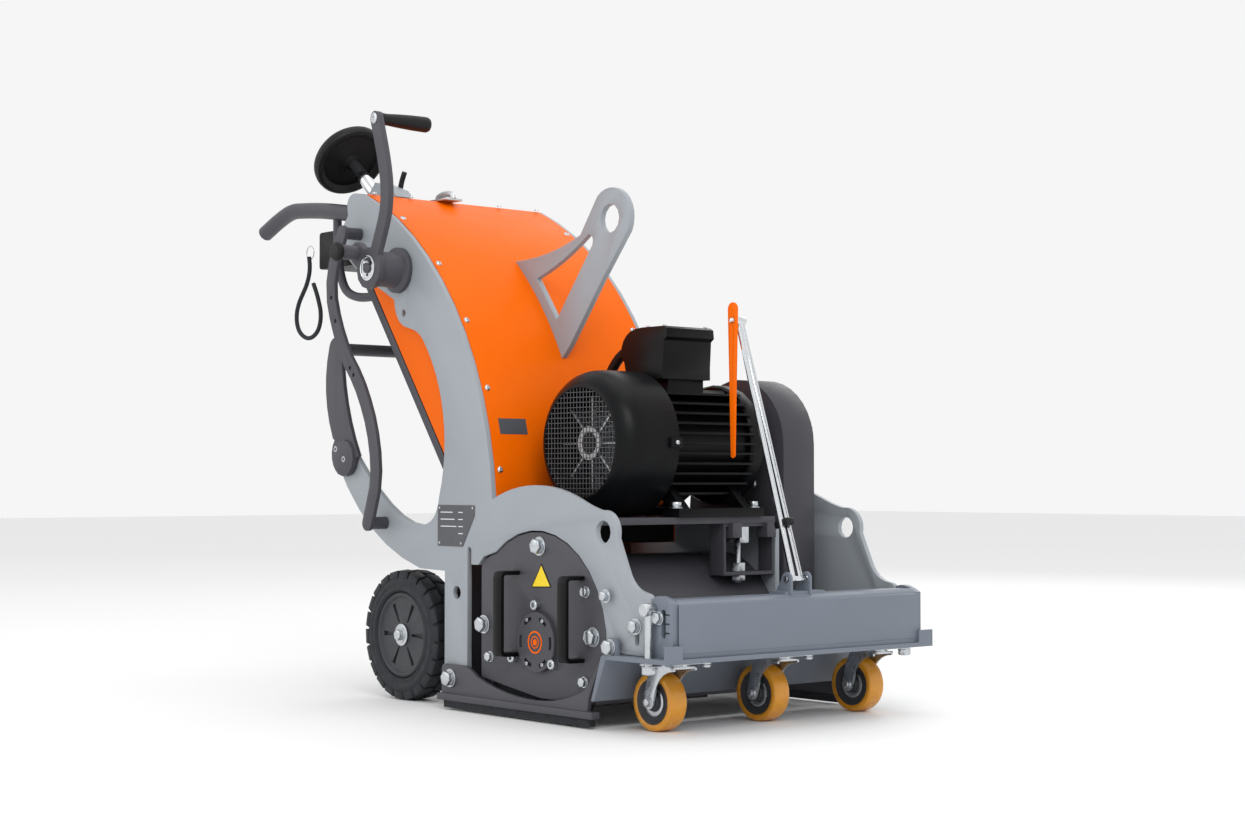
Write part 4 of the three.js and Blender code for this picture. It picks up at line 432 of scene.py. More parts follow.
class MILLER_OT_finishes(bpy.types.Operator):
    """The finishes that all the pieces share"""

    bl_idname = "miller.finishes"
    bl_label = "Finishes"

    def execute(self, context):
        c = context.scene.machine_colours
        finishes.update({
            # Satin light grey coat of the laser-cut side plates.
            "light_grey_paint": powder_coat("light grey powder coat", c.light_grey),
            # Darker coat of cover, crank and brackets: nearly matt.
            "graphite_paint": powder_coat("graphite powder coat", c.graphite, (0.40, 0.52)),
            "beam_grey_paint": powder_coat("beam grey powder coat", c.beam_grey, (0.36, 0.46)),
            # The hood's coat is glossier and fully saturated.
            "orange_paint": powder_coat("orange powder coat", c.orange, (0.30, 0.38), 0.08),
            # Enamel on castings and pressed covers: deep, with softer highlights.
            "black_paint": powder_coat("black enamel", c.black, (0.30, 0.42), 0.15),
            "guard_paint": powder_coat("charcoal powder coat", shaded(c.graphite, 0.75), (0.40, 0.52)),
            "black_plastic": moulded("black polyamide", c.plastic),
            "red_plastic": moulded("red polycarbonate", c.red, (0.22, 0.32), 2.5, 0.02),
            "rubber": moulded("black EPDM rubber", c.rubber, (0.62, 0.78), 2.2, 0.12),
            # Tyre rubber has a coarser skin and dull patches where the mould released.
            "tyre_rubber": moulded("solid tyre rubber", c.rubber, (0.52, 0.74), 2.8, 0.16),
            "wheel_plastic": moulded("charcoal polyamide", linear("#3B3C40"), (0.40, 0.54), 2.0, 0.08),
            # Cast polyurethane: smooth, glossy, and darker where it is thick.
            "polyurethane": surface(
                "amber polyurethane", shaded(c.amber, 0.72), shaded(c.amber, 1.12), 45, 3, 0.02,
                (0.22, 0.34), 20, IOR=1.5, **{
                    "Subsurface Weight": 0.15, "Subsurface Radius": (0.01, 0.004, 0.001), "Coat Weight": 0.2}),
            "zinc_plate": plated("bright zinc plate", c.zinc, (0.22, 0.40), 6),
            "chrome_plate": plated("chrome plate", c.chrome, (0.07, 0.14), 30),
            "steel": plated("machined steel", c.steel, (0.30, 0.46), 5),
            # Phosphated spring wire: dark grey and half matt.
            "dull_steel": surface(
                "phosphated wire", linear("#5A5B5E"), linear("#6E6F72"), 12, 2, 0.02, (0.4, 0.5), 9,
                Metallic=0.9),
            "cast_aluminium": surface(
                "cast aluminium", linear("#BFC2C4"), linear("#D8DADB"), 14, 1.8, 0.08, (0.36, 0.5), 9,
                Metallic=1.0),
            # Printed vinyl labels: flat colour, thin, with a faint ripple.
            "grey_vinyl": surface(
                "charcoal vinyl", linear("#46474C"), linear("#505157"), 30, 6, 0.02, (0.34, 0.42), 20,
                IOR=1.5),
            "yellow_vinyl": surface(
                "yellow vinyl", shaded(c.yellow, 0.95), shaded(c.yellow, 1.04), 20, 6, 0.02, (0.3, 0.4), 20,
                IOR=1.5),
            "white_vinyl": surface(
                "white vinyl", linear("#D9DADB"), linear("#E6E7E8"), 20, 6, 0.02, (0.34, 0.44), 20, IOR=1.5),
        })
        return {"FINISHED"}


# ---------------------------------------------------------------- the pieces

class MILLER_OT_stage(bpy.types.Operator):
    """Camera, pale floor and soft studio light"""

    bl_idname = "miller.stage"
    bl_label = "Stage"

    def execute(self, context):
        yaw, pitch = 0.8681, 0.0322
        looking = Vector((-math.sin(yaw) * math.cos(pitch), math.cos(yaw) * math.cos(pitch), math.sin(pitch)))
        nothing_selected()
        bpy.ops.object.camera_add(
            location=here(2856.5, -2562.8, 418.1), rotation=looking.to_track_quat("-Z", "Y").to_euler())
        context.scene.camera = context.object
        context.object.data.lens = 60.45
        context.object.data.sensor_width = 36
        context.scene.view_settings.view_transform = "Standard"

        for place, size, power in (
            ((3.8, -2.2, 3.4), 2.4, 75), ((-2.6, -4.2, 2.6), 3.0, 25),
            ((0.4, 0.2, 4.4), 3.0, 30), ((-1.5, 4.2, 3.0), 3.0, 35)):
            nothing_selected()
            aim = (Vector((0, 0, 0.5)) - Vector(place)).to_track_quat("-Z", "Y")
            bpy.ops.object.light_add(type="AREA", location=place, rotation=aim.to_euler())
            context.object.data.size = size
            context.object.data.energy = power

        room = bpy.data.worlds.new("studio air")
        room.use_nodes = True
        room.node_tree.nodes["Background"].inputs["Color"].default_value = (1, 1, 1, 1)
        room.node_tree.nodes["Background"].inputs["Strength"].default_value = 0.92
        context.scene.world = room

        nothing_selected()
        bpy.ops.mesh.primitive_plane_add(size=40, location=(0, 0, 0))
        floor = named(context.object, "studio_floor")
        edit(floor)
        bpy.ops.mesh.subdivide(number_cuts=3)
        bpy.ops.object.mode_set(mode="OBJECT")
        finishes["studio_floor"] = surface(
            "studio floor", linear("#EDEDED"), linear("#F0F0F0"), 2000, 30, 0.02, (0.6, 0.7), 900, IOR=1.45)
        floor.data.materials.append(finishes["studio_floor"])
        return {"FINISHED"}


class MILLER_OT_cad_finish(bpy.types.Operator):
    """Finishes of the frame's own pieces, with their edges broken"""

    bl_idname = "miller.cad_finish"
    bl_label = "Frame pieces"

    def execute(self, context):
        others = {"cooling_fan": "cast_aluminium", "belt_guard": "guard_paint", "motor_rotor": "steel"}
        for part in frame["record"]["subparts"]:
            piece = frame["nodes"][part["node"]]
            if piece.hide_render:
                continue
            piece.data.materials.clear()
            piece.data.materials.append(finishes[others.get(part["node"], part["material_slot"])])
            for face in piece.data.polygons:
                face.use_smooth = True
            seams = piece.modifiers.new("closed seams", "WELD")
            seams.merge_threshold = MM / 50
            flats = piece.modifiers.new("whole flat faces", "DECIMATE")
            flats.decimate_type = "DISSOLVE"
            flats.angle_limit = math.radians(0.6)
            edges = piece.modifiers.new("broken edges", "BEVEL")
            edges.width = context.scene.machine_sizes.broken_edge
            edges.segments = 2
            edges.limit_method = "ANGLE"
            edges.angle_limit = math.radians(34)
            edges.harden_normals = True
        return {"FINISHED"}


class MILLER_OT_safety_cord(bpy.types.Operator):
    """The stiff cord that hangs in a loop at the near handlebar, with its ring"""

    bl_idname = "miller.safety_cord"
    bl_label = "Safety cord"

    def execute(self, context):
        y = BARS_Y[0]
        route = [here(x, y, z) for x, z in (
            (-887, 888), (-884.5, 876), (-884, 862), (-888, 846), (-897, 829), (-911, 812), (-924, 796),
            (-933, 777), (-934, 757), (-926, 738), (-910, 725), (-889, 718.5), (-868, 721.5), (-850.5, 733),
            (-841.5, 751), (-841, 772), (-848, 792), (-857, 811), (-869, 831))]
        line = along(route, 4)
        thickness = context.scene.machine_sizes.cord_thickness
        cord = round_bar("safety_cord_line", line, thickness / 2 / MM)
        settle(cord, "frame", "rubber", instead_of=("safety_cord",))
        circle = [here(-887 + 14 * math.cos(t * math.tau / 32), y + 3, 897 + 14 * math.sin(t * math.tau / 32))
                  for t in range(33)]
        ring = settle(as_mesh(round_bar("cord_ring", circle, 1.1, 3)), "frame", "zinc_plate")
        return {"FINISHED"}


class MILLER_OT_rear_wheels(bpy.types.Operator):
    """Solid rear tyres with their tread blocks, slotted discs and axle bolts"""

    bl_idname = "miller.rear_wheels"
    bl_label = "Rear wheels"

    def execute(self, context):
        sizes = context.scene.machine_sizes
        half = WHEEL_WIDTH / 2
        floor_radius = WHEEL_RADIUS - sizes.tread_depth / MM
        for side, body, node in ((-1, "rear_wheel_near", "wheel_near"), (1, "rear_wheel_far", "wheel_far")):
            outwards = (0, side, 0)
            middle = here(WHEEL_X, side * WHEEL_MIDDLE, WHEEL_Z)
            tyre = turned(node + "_tyre", [
                (82, -20), (84, -half + 4), (88, -half), (106, -half), (112, -half + 4),
                (floor_radius, -half + 9),
                (floor_radius, half - 9), (112, half - 4), (109, half - 1.5), (104, half - 1), (102, half),
                (98, half), (96, half - 1.2), (91, half - 1), (88, half), (85, half - 2), (83, half - 5),
                (82, half - 9), (82, -20)], steps=88)
            lugs = []
            pitch = math.tau / sizes.tread_blocks
            for k in (-1, 1):
                model = self.lug(floor_radius, half, k, sizes)
                for i in range(sizes.tread_blocks):
                    only(model)
                    bpy.ops.object.duplicate()
                    lugs.append(set_at(context.object, (0, 0, 0), (0, 0, 1), (i + k / 4) * pitch))
                bpy.data.objects.remove(model)
            blocks = set_at(joined("blocks", lugs), middle, outwards)
            tyre = joined(node + "_tyre", [set_at(tyre, middle, outwards), blocks])
            settle(tyre, body, "tyre_rubber", instead_of=(node,))
            self.disc(node, body, middle, outwards, half)
        return {"FINISHED"}

    def lug(self, floor_radius, half, side, sizes):
        """One tread block: a slanted bar across half the tread that turns down over the shoulder."""
        length = math.tau * WHEEL_RADIUS / sizes.tread_blocks * 0.80
        nothing_selected()
        bpy.ops.mesh.primitive_cube_add(
            size=1, location=((WHEEL_RADIUS - 8.6) * MM, 0, side * (half - 13.7) * MM),
            scale=(15 * MM, length * MM, 26 * MM))
        model = bpy.context.object
        bpy.ops.object.transform_apply(location=True, rotation=True, scale=True)
        edit(model)
        pick(model, lambda co: co.x > floor_radius and side * co.z > half - 8, "verts")
        bpy.ops.transform.translate(value=(-1.0 * MM, 0, -side * 2.5 * MM))
        pick(model, lambda co: co.x < floor_radius and side * co.z < half - 14, "verts")
        bpy.ops.transform.translate(value=(6 * MM, 0, 0))
        pick(model, lambda co: side * co.z < half - 14, "verts")
        bpy.ops.transform.translate(value=(0, 7 * MM, 0))
        bpy.ops.object.mode_set(mode="OBJECT")
        return softened(model, 1.4, 2)

    def disc(self, node, body, middle, outwards, half):
        """The moulded disc with its rounded ring, six slots and the axle bolt in the middle."""
        disc = turned(node + "_disc", [
            (13, -20), (82.5, -20), (82.5, half - 7), (80, half - 3.2), (77, half - 2), (74, half - 3.4),
            (71.5, half - 7.5), (66, half - 8.5), (27, half - 8.5), (22, half - 7), (13, half - 7),
            (13, -20)], steps=84)
        edit(disc)
        pick(disc, lambda co, normal: normal.z > 0.95 and 40 < math.hypot(co.x, co.y) < 52
             and abs((math.degrees(math.atan2(co.y, co.x)) + 30) % 60 - 30) < 2.4)
        bpy.ops.mesh.extrude_region_move(TRANSFORM_OT_translate={"value": (0, 0, -6 * MM)})
        bpy.ops.object.mode_set(mode="OBJECT")
        settle(set_at(disc, middle, outwards), body, "black_plastic", "wheel_plastic")
        flange = turned("flange", [
            (12.4, half - 7), (17, half - 7), (17, half - 5), (21, half - 4.4), (21, half - 3),
            (18, half - 2),
            (12.4, half - 2), (12.4, half - 7)], steps=32)
        settle(named(set_at(flange, middle, outwards), node + "_flange"), body, "zinc_plate")
        face = middle + Vector(outwards) * (half - 2) * MM
        bolt = copied(node + "_bolt", hexagon_bolt(19, 7, 15), [face], outwards)
        settle(bolt, body, "zinc_plate")


class MILLER_OT_castors(bpy.types.Operator):
    """Castor wheels with amber treads, hubs and axle bolts, and the plates they are bolted on with"""

    bl_idname = "miller.castors"
    bl_label = "Castors"

    def execute(self, context):
        for i, y in enumerate(CASTOR_Y, 1):
            middle = here(CASTOR_X, y, CASTOR_RADIUS)
            outwards = (0, -1, 0)
            tread = turned(f"castor_tread_{i}", [
                (38, -17), (40, -18.6), (45.5, -19), (48.5, -17), (49.8, -12), (50, -6), (50, 6), (49.8, 12),
                (48.5, 17), (45.5, 19), (40, 18.6), (38, 17), (38, -17)], middle, outwards, 64)
            settle(tread, f"castor_roller_{i}", "polyurethane", instead_of=(f"castor_wheel_{i}",))
            core = turned(f"castor_core_{i}", [
                (8.6, -20.5), (14, -20.5), (15, -19), (15, -13), (27, -12), (33, -14), (36, -17.5),
                (38.2, -18),
                (38.2, 18), (36, 17.5), (33, 14), (27, 12), (15, 13), (15, 19), (14, 20.5), (8.6, 20.5),
                (8.6, -20.5)], middle, outwards, 48)
            settle(core, f"castor_roller_{i}", "black_plastic", "wheel_plastic")
            seal = turned(f"castor_seal_{i}", [
                (15.4, 12), (24, 12.6), (24.5, 14.5), (22.5, 15.4), (17, 14.8), (15.4, 14), (15.4, 12)],
                middle, outwards, 40)
            settle(seal, f"castor_roller_{i}", "zinc_plate")
            bolts = [copied("castor bolt", hexagon_bolt(13, 5, 9), [middle + Vector((0, s * 26.2 * MM, 0))],
                            (0, s, 0)) for s in (-1, 1)]
            settle(joined(f"castor_axle_bolt_{i}", bolts), f"castor_{i}", "zinc_plate")
            self.mounting_plate(i, y)
        return {"FINISHED"}

    def mounting_plate(self, i, y):
        """The plate under the deck, open in the middle for the swivel head, with its four nuts."""
        corners = 32
        rim = []
        for k in range(corners + 1):
            c, s = math.cos(k * math.tau / corners), math.sin(k * math.tau / corners)
            rim.append(here(CASTOR_SWIVEL_X + 52 * math.copysign(abs(c) ** 0.35, c),
                            y + 43 * math.copysign(abs(s) ** 0.35, s), 118.2))
        plate = drawn(f"castor_plate_{i}", rim)
        bpy.ops.mesh.remove_doubles(threshold=MM / 500)
        bpy.ops.mesh.primitive_circle_add(
            vertices=corners, radius=30 * MM, location=here(CASTOR_SWIVEL_X, y, 118.2))
        bpy.ops.mesh.select_all(action="SELECT")
        bpy.ops.mesh.bridge_edge_loops()
        bpy.ops.mesh.select_all(action="SELECT")
        bpy.ops.mesh.extrude_region_move(TRANSFORM_OT_translate={"value": (0, 0, 3.4 * MM)})
        settle(closed_up(plate), "carriage", "zinc_plate")
        spots = [(CASTOR_SWIVEL_X + a * 42, y + b * 33) for a in (-1, 1) for b in (-1, 1)]
        nuts = copied("nuts", hexagon_bolt(13, 5, 8), [here(a, b, 118) for a, b in spots], (0, 0, -1))
        settle(named(nuts, f"castor_nuts_{i}"), "carriage", "zinc_plate")


class MILLER_OT_motor(bpy.types.Operator):
    """Fan cowl with its wire grille, shield bolts, screws of the terminal box lid and conduit gland"""

    bl_idname = "miller.motor"
    bl_label = "Motor"

    def execute(self, context):
        sizes = context.scene.machine_sizes
        axis = (0, -1, 0)
        zero = here(MOTOR_X, 0, MOTOR_Z)
        cowl = turned("motor_cowl", [
            (129, 103.5), (131, 103.5), (131, 176), (129.6, 190), (125, 204), (117, 215), (108, 222),
            (102, 225.6), (99, 225.6), (98, 223), (98, 219), (101, 219), (107, 218), (115, 211.5),
            (122.5, 201), (127, 188), (128.6, 176), (129, 103.5)], zero, axis, 72)
        settle(cowl, "frame", "black_paint", instead_of=("fan_cowl",))
        self.grille(sizes)
        hub = turned("fan_ring", [(20, 200.4), (30, 200.4), (31, 202), (30, 204), (21, 204), (20, 203),
                                  (20, 200.4)], zero, axis, 48)
        settle(hub, "motor_shaft", "steel", "cast_aluminium")
        cap = turned("fan_hub_cap", [(0, 200.2), (19.6, 200.2), (19.6, 203), (18.4, 204.4), (6, 204.4),
            (5, 203.4),
                                     (0, 203.2)], zero, axis, 40)
        settle(cap, "motor_shaft", "steel", "black_plastic")
        band = [cut_plate("clip", [(MOTOR_X + dx + a * 11, MOTOR_Z + b * 9) for a, b in SQUARE], -128, 26)
                for dx in (126, -126)]
        settle(joined("cowl_clips", [softened(piece, 1.2) for piece in band]), "frame", "black_paint")
        screw = copied("cowl_screw", dome_screw(4.5, 3), [here(MOTOR_X + 137.2, -114, MOTOR_Z)], (1, 0, 0))
        settle(screw, "frame", "zinc_plate")
        angles = [math.radians(45 + 90 * k) for k in range(4)]
        spots = [here(MOTOR_X + 103 * math.cos(a), 126.3, MOTOR_Z + 103 * math.sin(a)) for a in angles]
        fastened("shield_bolts", hexagon_bolt(13, 6, 8), spots, (0, 1, 0))
        feet = [here(x, y, 372.2) for x in (MOTOR_X - 108, MOTOR_X + 108) for y in (-92, 98)]
        fastened("foot_bolts", hexagon_bolt(17, 9, 12), feet, (0, 0, 1))
        corners = [here(x, y, 701.2) for x in (-22, 24) for y in (-64, 36)]
        fastened("lid_screws", socket_screw(3.6, 3), corners, (0, 0, 1))
        gland = turned("gland", [(11, 0), (19, 0), (19.5, 3), (19.5, 9), (17, 12), (17, 18), (14.5, 23),
                                 (10.4, 26), (10.4, 0)], here(-92, -14, 668), (-1, 0, 0.12), 36)
        settle(named(gland, "conduit_gland"), "frame", "black_plastic")
        return {"FINISHED"}

    def grille(self, sizes):
        """Wires woven both ways inside the ring of the cowl."""
        pitch, thick = sizes.mesh_pitch / MM, sizes.mesh_wire / MM
        reach = 99
        count = int(reach / pitch)
        wires = []
        for across in (False, True):
            for k in range(-count, count + 1):
                offset = k * pitch
                half = math.sqrt(reach**2 - offset**2)
                y = -223.6 - (thick * 0.6 if across else 0)
                if across:
                    ends = [here(MOTOR_X + s * half, y, MOTOR_Z + offset) for s in (-1, 1)]
                else:
                    ends = [here(MOTOR_X + offset, y, MOTOR_Z + s * half) for s in (-1, 1)]
                nothing_selected()
                bpy.ops.mesh.primitive_cylinder_add(vertices=6, radius=thick / 2 * MM, depth=2 * half * MM)
                wires.append(set_at(bpy.context.object, (ends[0] + ends[1]) / 2, ends[1] - ends[0]))
        settle(joined("fan_grille", wires), "frame", "steel", "dull_steel")


class MILLER_OT_hood_trim(bpy.types.Operator):
    """Screws, latch and labels of the hood"""

    bl_idname = "miller.hood_trim"
    bl_label = "Hood trim"

    def execute(self, context):
        near = [(skin_x(z), -278, z) for z in (929, 832, 719, 591, 441)]
        far = [(skin_x(z), 128, z) for z in (929, 830, 719, 641)]
        screws = []
        for x, y, z in near + far:
            outwards = Vector((x - SKIN_X, 0, z - SKIN_Z)).normalized()
            place = here(x, y, z) + outwards * 0.2 * MM
            screws.append(copied("hood screw", dome_screw(6.2, 3.6), [place], outwards))
        top = [here(-600, y, 988.2) for y in (-278, -190, -90, 30, 128)]
        screws.append(copied("top screws", dome_screw(5.2, 3.2), top, (0.1, 0, 1)))
        settle(joined("hood_screws", screws), "frame", "zinc_plate")

        skin = self.bent_sheet("hood_skin", -289.6, 139.6, 303, 986.5, 90, 0.1, 0.7)
        settle(skin, "frame", "orange_paint")
        label = self.bent_sheet("hood_label", -268, -205, 506, 535, 8, 0.85, 0.3)
        settle(label, "frame", "graphite_paint", "grey_vinyl")
        # Painted shade: a black plastic sheet along the hood's lower skin, under the motor base plate,
        # darkening the band that the base plate shades.
        guard = self.bent_sheet("hood_splash_guard", -286, 136, 303, 374, 10, 1.2, 1.6)
        settle(guard, "frame", "black_plastic")

        base = block("latch_base", (-636, -122, 987.4), (-574, -82, 992), 1.2)
        arch = as_mesh(round_bar("latch_arch", along([here(x, -102, z) for x, z in (
            (-632, 991), (-628, 999), (-612, 1003), (-596, 1003), (-582, 999), (-578, 991))], 5), 6.5, 4))
        settle(joined("hood_latch", [base, arch]), "frame", "zinc_plate", "cast_aluminium")
        return {"FINISHED"}

    def bent_sheet(self, name, y_low, y_high, z_low, z_high, rows, lift, thickness):
        """A thin sheet bent to the hood's skin, standing lift proud of it."""
        centre = here(SKIN_X, 0, SKIN_Z)
        line = []
        for k in range(rows + 1):
            z = z_low + (z_high - z_low) * k / rows
            out = Vector((skin_x(z) - SKIN_X, 0, z - SKIN_Z)).normalized()
            line.append(centre + out * (SKIN_RADIUS + lift) * MM + Vector((0, y_low * MM, 0)))
        piece = drawn(name, line)
        bpy.ops.mesh.extrude_edges_move(TRANSFORM_OT_translate={"value": (0, (y_high - y_low) * MM, 0)})
        bpy.ops.mesh.select_all(action="SELECT")
        bpy.ops.mesh.normals_make_consistent(inside=False)
        bpy.ops.object.mode_set(mode="OBJECT")
        wall = piece.modifiers.new("sheet thickness", "SOLIDIFY")
        wall.thickness = thickness * MM
        wall.offset = 1 if piece.data.polygons[0].normal.x > 0 else -1
        bpy.ops.object.modifier_apply(modifier=wall.name)
        return piece


class MILLER_OT_plate_hardware(bpy.types.Operator):
    """Bolts, screws and the data plate of the side plates"""

    bl_idname = "miller.plate_hardware"
    bl_label = "Side plate hardware"

    def execute(self, context):
        out = (0, -1, 0)
        fastened("link_bolts", hexagon_bolt(15, 8, 12), [here(152, NEAR_FACE - 9, 227)], out)
        fastened("plate_slot_bolts", hexagon_bolt(19, 9, 14),
                      [here(219.5, NEAR_FACE - 0.3, 179)], out, "carriage")
        tail = copied("tail_bolts", socket_screw(6.5, 6), [
            here(-652, NEAR_FACE - 8.6, 464), here(-681, NEAR_FACE - 8.6, 484)], out)
        settle(tail, "frame", "zinc_plate")
        plate = cut_plate("data_plate", [(-348, 376), (-232, 376), (-232, 357), (-268, 300), (-348, 300)],
                          NEAR_FACE - 1.2, 1.1)
        settle(softened(plate, 0.4, 1), "frame", "graphite_paint", "grey_vinyl")
        rows = [self.rule(k, -338, -300 + (k % 3) * 6) for k in range(3)]
        rows += [self.rule(k, -282, -268) for k in range(4)]
        settle(joined("data_plate_rules", rows), "frame", "zinc_plate", "white_vinyl")
        rivets = copied("rivets", dome_screw(2.4, 1.2), [
            here(x, NEAR_FACE - 1.2, z) for x, z in ((-342, 371), (-238, 371), (-274, 306), (-342, 306))],
            out)
        settle(named(rivets, "data_plate_rivets"), "frame", "zinc_plate")
        foot = copied("skid_bolts", hexagon_bolt(24, 11, 17), [here(-296, -308.4, 58)], out)
        settle(foot, "frame", "zinc_plate")
        back = (0, 1, 0)
        fastened("far_link_bolt", hexagon_bolt(15, 8, 12), [here(152, FAR_FACE, 227)], back)
        fastened("far_slot_bolt", hexagon_bolt(19, 9, 14), [here(219.5, FAR_FACE, 179)], back, "carriage")
        return {"FINISHED"}

    def rule(self, k, start, end):
        """One printed line of the data plate, the kth from its top."""
        top = 363.6 - k * 13
        return block("rule", (start, NEAR_FACE - 1.5, top - 1.6), (end, NEAR_FACE - 1.15, top), 0.1, 1)


class MILLER_OT_drum_cover_trim(bpy.types.Operator):
    """Bolts, slotted bearing cap, triangle label and dust brush of the drum cover"""

    bl_idname = "miller.drum_cover_trim"
    bl_label = "Drum cover trim"

    def execute(self, context):
        out = (0, -1, 0)
        big = [here(x, COVER_FACE - 0.2, z) for x, z in ((-43, 306), (106, 155), (-206, 161))]
        fastened("cover_bolts", hexagon_bolt(24, 11, 17), big, out)
        small = [here(x, COVER_FACE - 0.2, z) for x, z in ((87, 231), (82, 77), (-186, 104))]
        fastened("cover_small_bolts", hexagon_bolt(15, 7, 10), small, out)
        caps = [here(x, COVER_FACE - 0.2, z) for x, z in ((-115, 107), (0, 102), (-49, 203))]
        fastened("cover_cap_screws", socket_screw(9, 10), caps, out)
        self.bearing_cap()
        edge = cut_plate("label_edge", self.triangle(1.0), COVER_FACE - 0.7, 0.6)
        settle(edge, "frame", "black_plastic")
        label = cut_plate("label_face", self.triangle(0.86), COVER_FACE - 1.0, 0.4)
        settle(label, "frame", "orange_paint", "yellow_vinyl")
        self.brush(context.scene.machine_sizes.bristle_pitch / MM)
        return {"FINISHED"}

    def triangle(self, share):
        middle = (-37.5, 247)
        return [(middle[0] + (x - middle[0]) * share, middle[1] + (z - middle[1]) * share)
                for x, z in ((-66, 233), (-9, 235), (-37, 276))]

    def bearing_cap(self):
        """The turned cap with six arc slots, its screws and its two painted rings."""
        centre = here(-45, 0, 138)
        cap = turned("bearing_cap", [
            (0, 298), (53, 298), (53, 305.3), (52, 306.3), (46, 306.3), (39, 306.3), (0, 306.3)], centre,
            (0, -1, 0), 72)
        edit(cap)
        pick(cap, lambda co, normal: normal.y < -0.95
             and 39 < math.hypot(co.x - centre.x / MM, co.z - centre.z / MM) < 46
             and abs((math.degrees(math.atan2(co.z - centre.z / MM,
                 co.x - centre.x / MM)) + 30) % 60 - 30) < 15)
        bpy.ops.mesh.extrude_region_move(TRANSFORM_OT_translate={"value": (0, 6 * MM, 0)})
        bpy.ops.object.mode_set(mode="OBJECT")
        settle(cap, "frame", "graphite_paint", instead_of=("drum_bearing_near",))
        spots = [here(-45 + 44 * math.sin(math.radians(a)), -306.4, 138 + 44 * math.cos(math.radians(a)))
                 for a in (30, 150, 210, 330)]
        fastened("cap_screws", socket_screw(3.4, 2.6), spots, (0, -1, 0))
        rings = [turned("ring", [(inner, 306.4), (outer, 306.4), (outer, 306.9), (inner, 306.9),
            (inner, 306.4)],
                        centre, (0, -1, 0), 40) for inner, outer in ((0, 5.5), (9, 11), (17, 20))]
        settle(joined("cap_rings", rings), "frame", "orange_paint")

    def brush(self, pitch):
        """Bristles hanging from a strip behind the cover's lower edge."""
        low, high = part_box("dust_brush")
        strip = block("strip", (-175, -289.5, 60), (90, -284.2, 84), 0.8)
        bristles = [strip]
        count = int((high.x - low.x) / MM / pitch)
        for row, y in enumerate((-288.4, -285.6)):
            for k in range(count):
                x = -174 + (k + 0.5 * row) * pitch
                nothing_selected()
                bpy.ops.mesh.primitive_cone_add(
                    vertices=4, radius1=0.9 * MM, radius2=1.2 * MM, depth=54 * MM,
                    location=here(x + 0.4 * math.sin(k * 2.1), y, 34 + 1.2 * math.sin(k * 1.3)))
                bristles.append(bpy.context.object)
        for piece in bristles[1:]:
            piece.select_set(True)
        bpy.ops.object.transform_apply(location=True, rotation=True, scale=True)
        settle(joined("brush_bristles", bristles), "frame", "rubber", instead_of=("dust_brush",))


class MILLER_OT_belt_guard_trim(bpy.types.Operator):
    """Screws round the edge of the belt guard"""

    bl_idname = "miller.belt_guard_trim"
    bl_label = "Belt guard trim"

    def execute(self, context):
        spots = [here(x, GUARD_FACE, z) for x, z in (
            (-22, 598), (-125, 520), (85, 520), (88, 300), (-150, 200), (80, 80), (-150, 70))]
        fastened("guard_screws", hexagon_bolt(13, 5, 9), spots, (0, 1, 0))
        return {"FINISHED"}


class MILLER_OT_handlebars(bpy.types.Operator):
    """The two bent handlebars with their braces"""

    bl_idname = "miller.handlebars"
    bl_label = "Handlebars"

    def execute(self, context):
        bar = ((-654, 951), (-742, 966), (-830, 979), (-910, 987), (-955, 988), (-1005, 975), (-1063, 953))
        brace = ((-596, 793), (-650, 789), (-706, 793), (-746, 811), (-768, 853), (-776, 907), (-778, 973))
        for y, node in zip(BARS_Y, ("handlebar_near", "handlebar_far")):
            tube = as_mesh(round_bar("tube", along([here(x, y, z) for x, z in bar], 8), 16.5, 10))
            softened(tube, 3, 3, 60)
            strut = as_mesh(round_bar("strut", along([here(x, y, z) for x, z in brace], 7), 9, 6))
            weld = turned("weld", [(9, 0), (12.5, 0), (11, 3), (9, 4.5), (9, 0)], here(-778, y, 962),
                (0, 0, -1), 24)
            settle(joined(node + "_tube", [tube, strut, weld]), "frame", "graphite_paint", instead_of=(node,))
        return {"FINISHED"}


class MILLER_OT_handwheel(bpy.types.Operator):
    """The dished handwheel of the depth column"""

    bl_idname = "miller.handwheel"
    bl_label = "Handwheel"

    def execute(self, context):
        lean = math.radians(50.5)
        axis = Vector((-math.sin(lean), 0, math.cos(lean)))
        foot = here(-706, -193, 995)
        wheel = turned("handwheel_rim", [
            (0, 137), (20, 137), (21, 134), (17.5, 133.4), (0, 133.4), (17.5, 133.4), (21, 134), (22, 138),
            (60, 144), (64, 140), (70, 136), (76, 137.5), (79.4, 142), (80, 148), (79, 154), (75.5, 158.6),
            (70, 160), (66, 157), (63, 151.5), (24, 147), (20, 152), (0, 153)], foot, axis, 72)
        settle(wheel, "hand_wheel", "black_plastic", instead_of=("handwheel",))
        nut = copied("handwheel_nut", hexagon_bolt(19, 6, 13), [foot + axis * 152 * MM], axis)
        settle(nut, "hand_wheel", "zinc_plate")
        return {"FINISHED"}


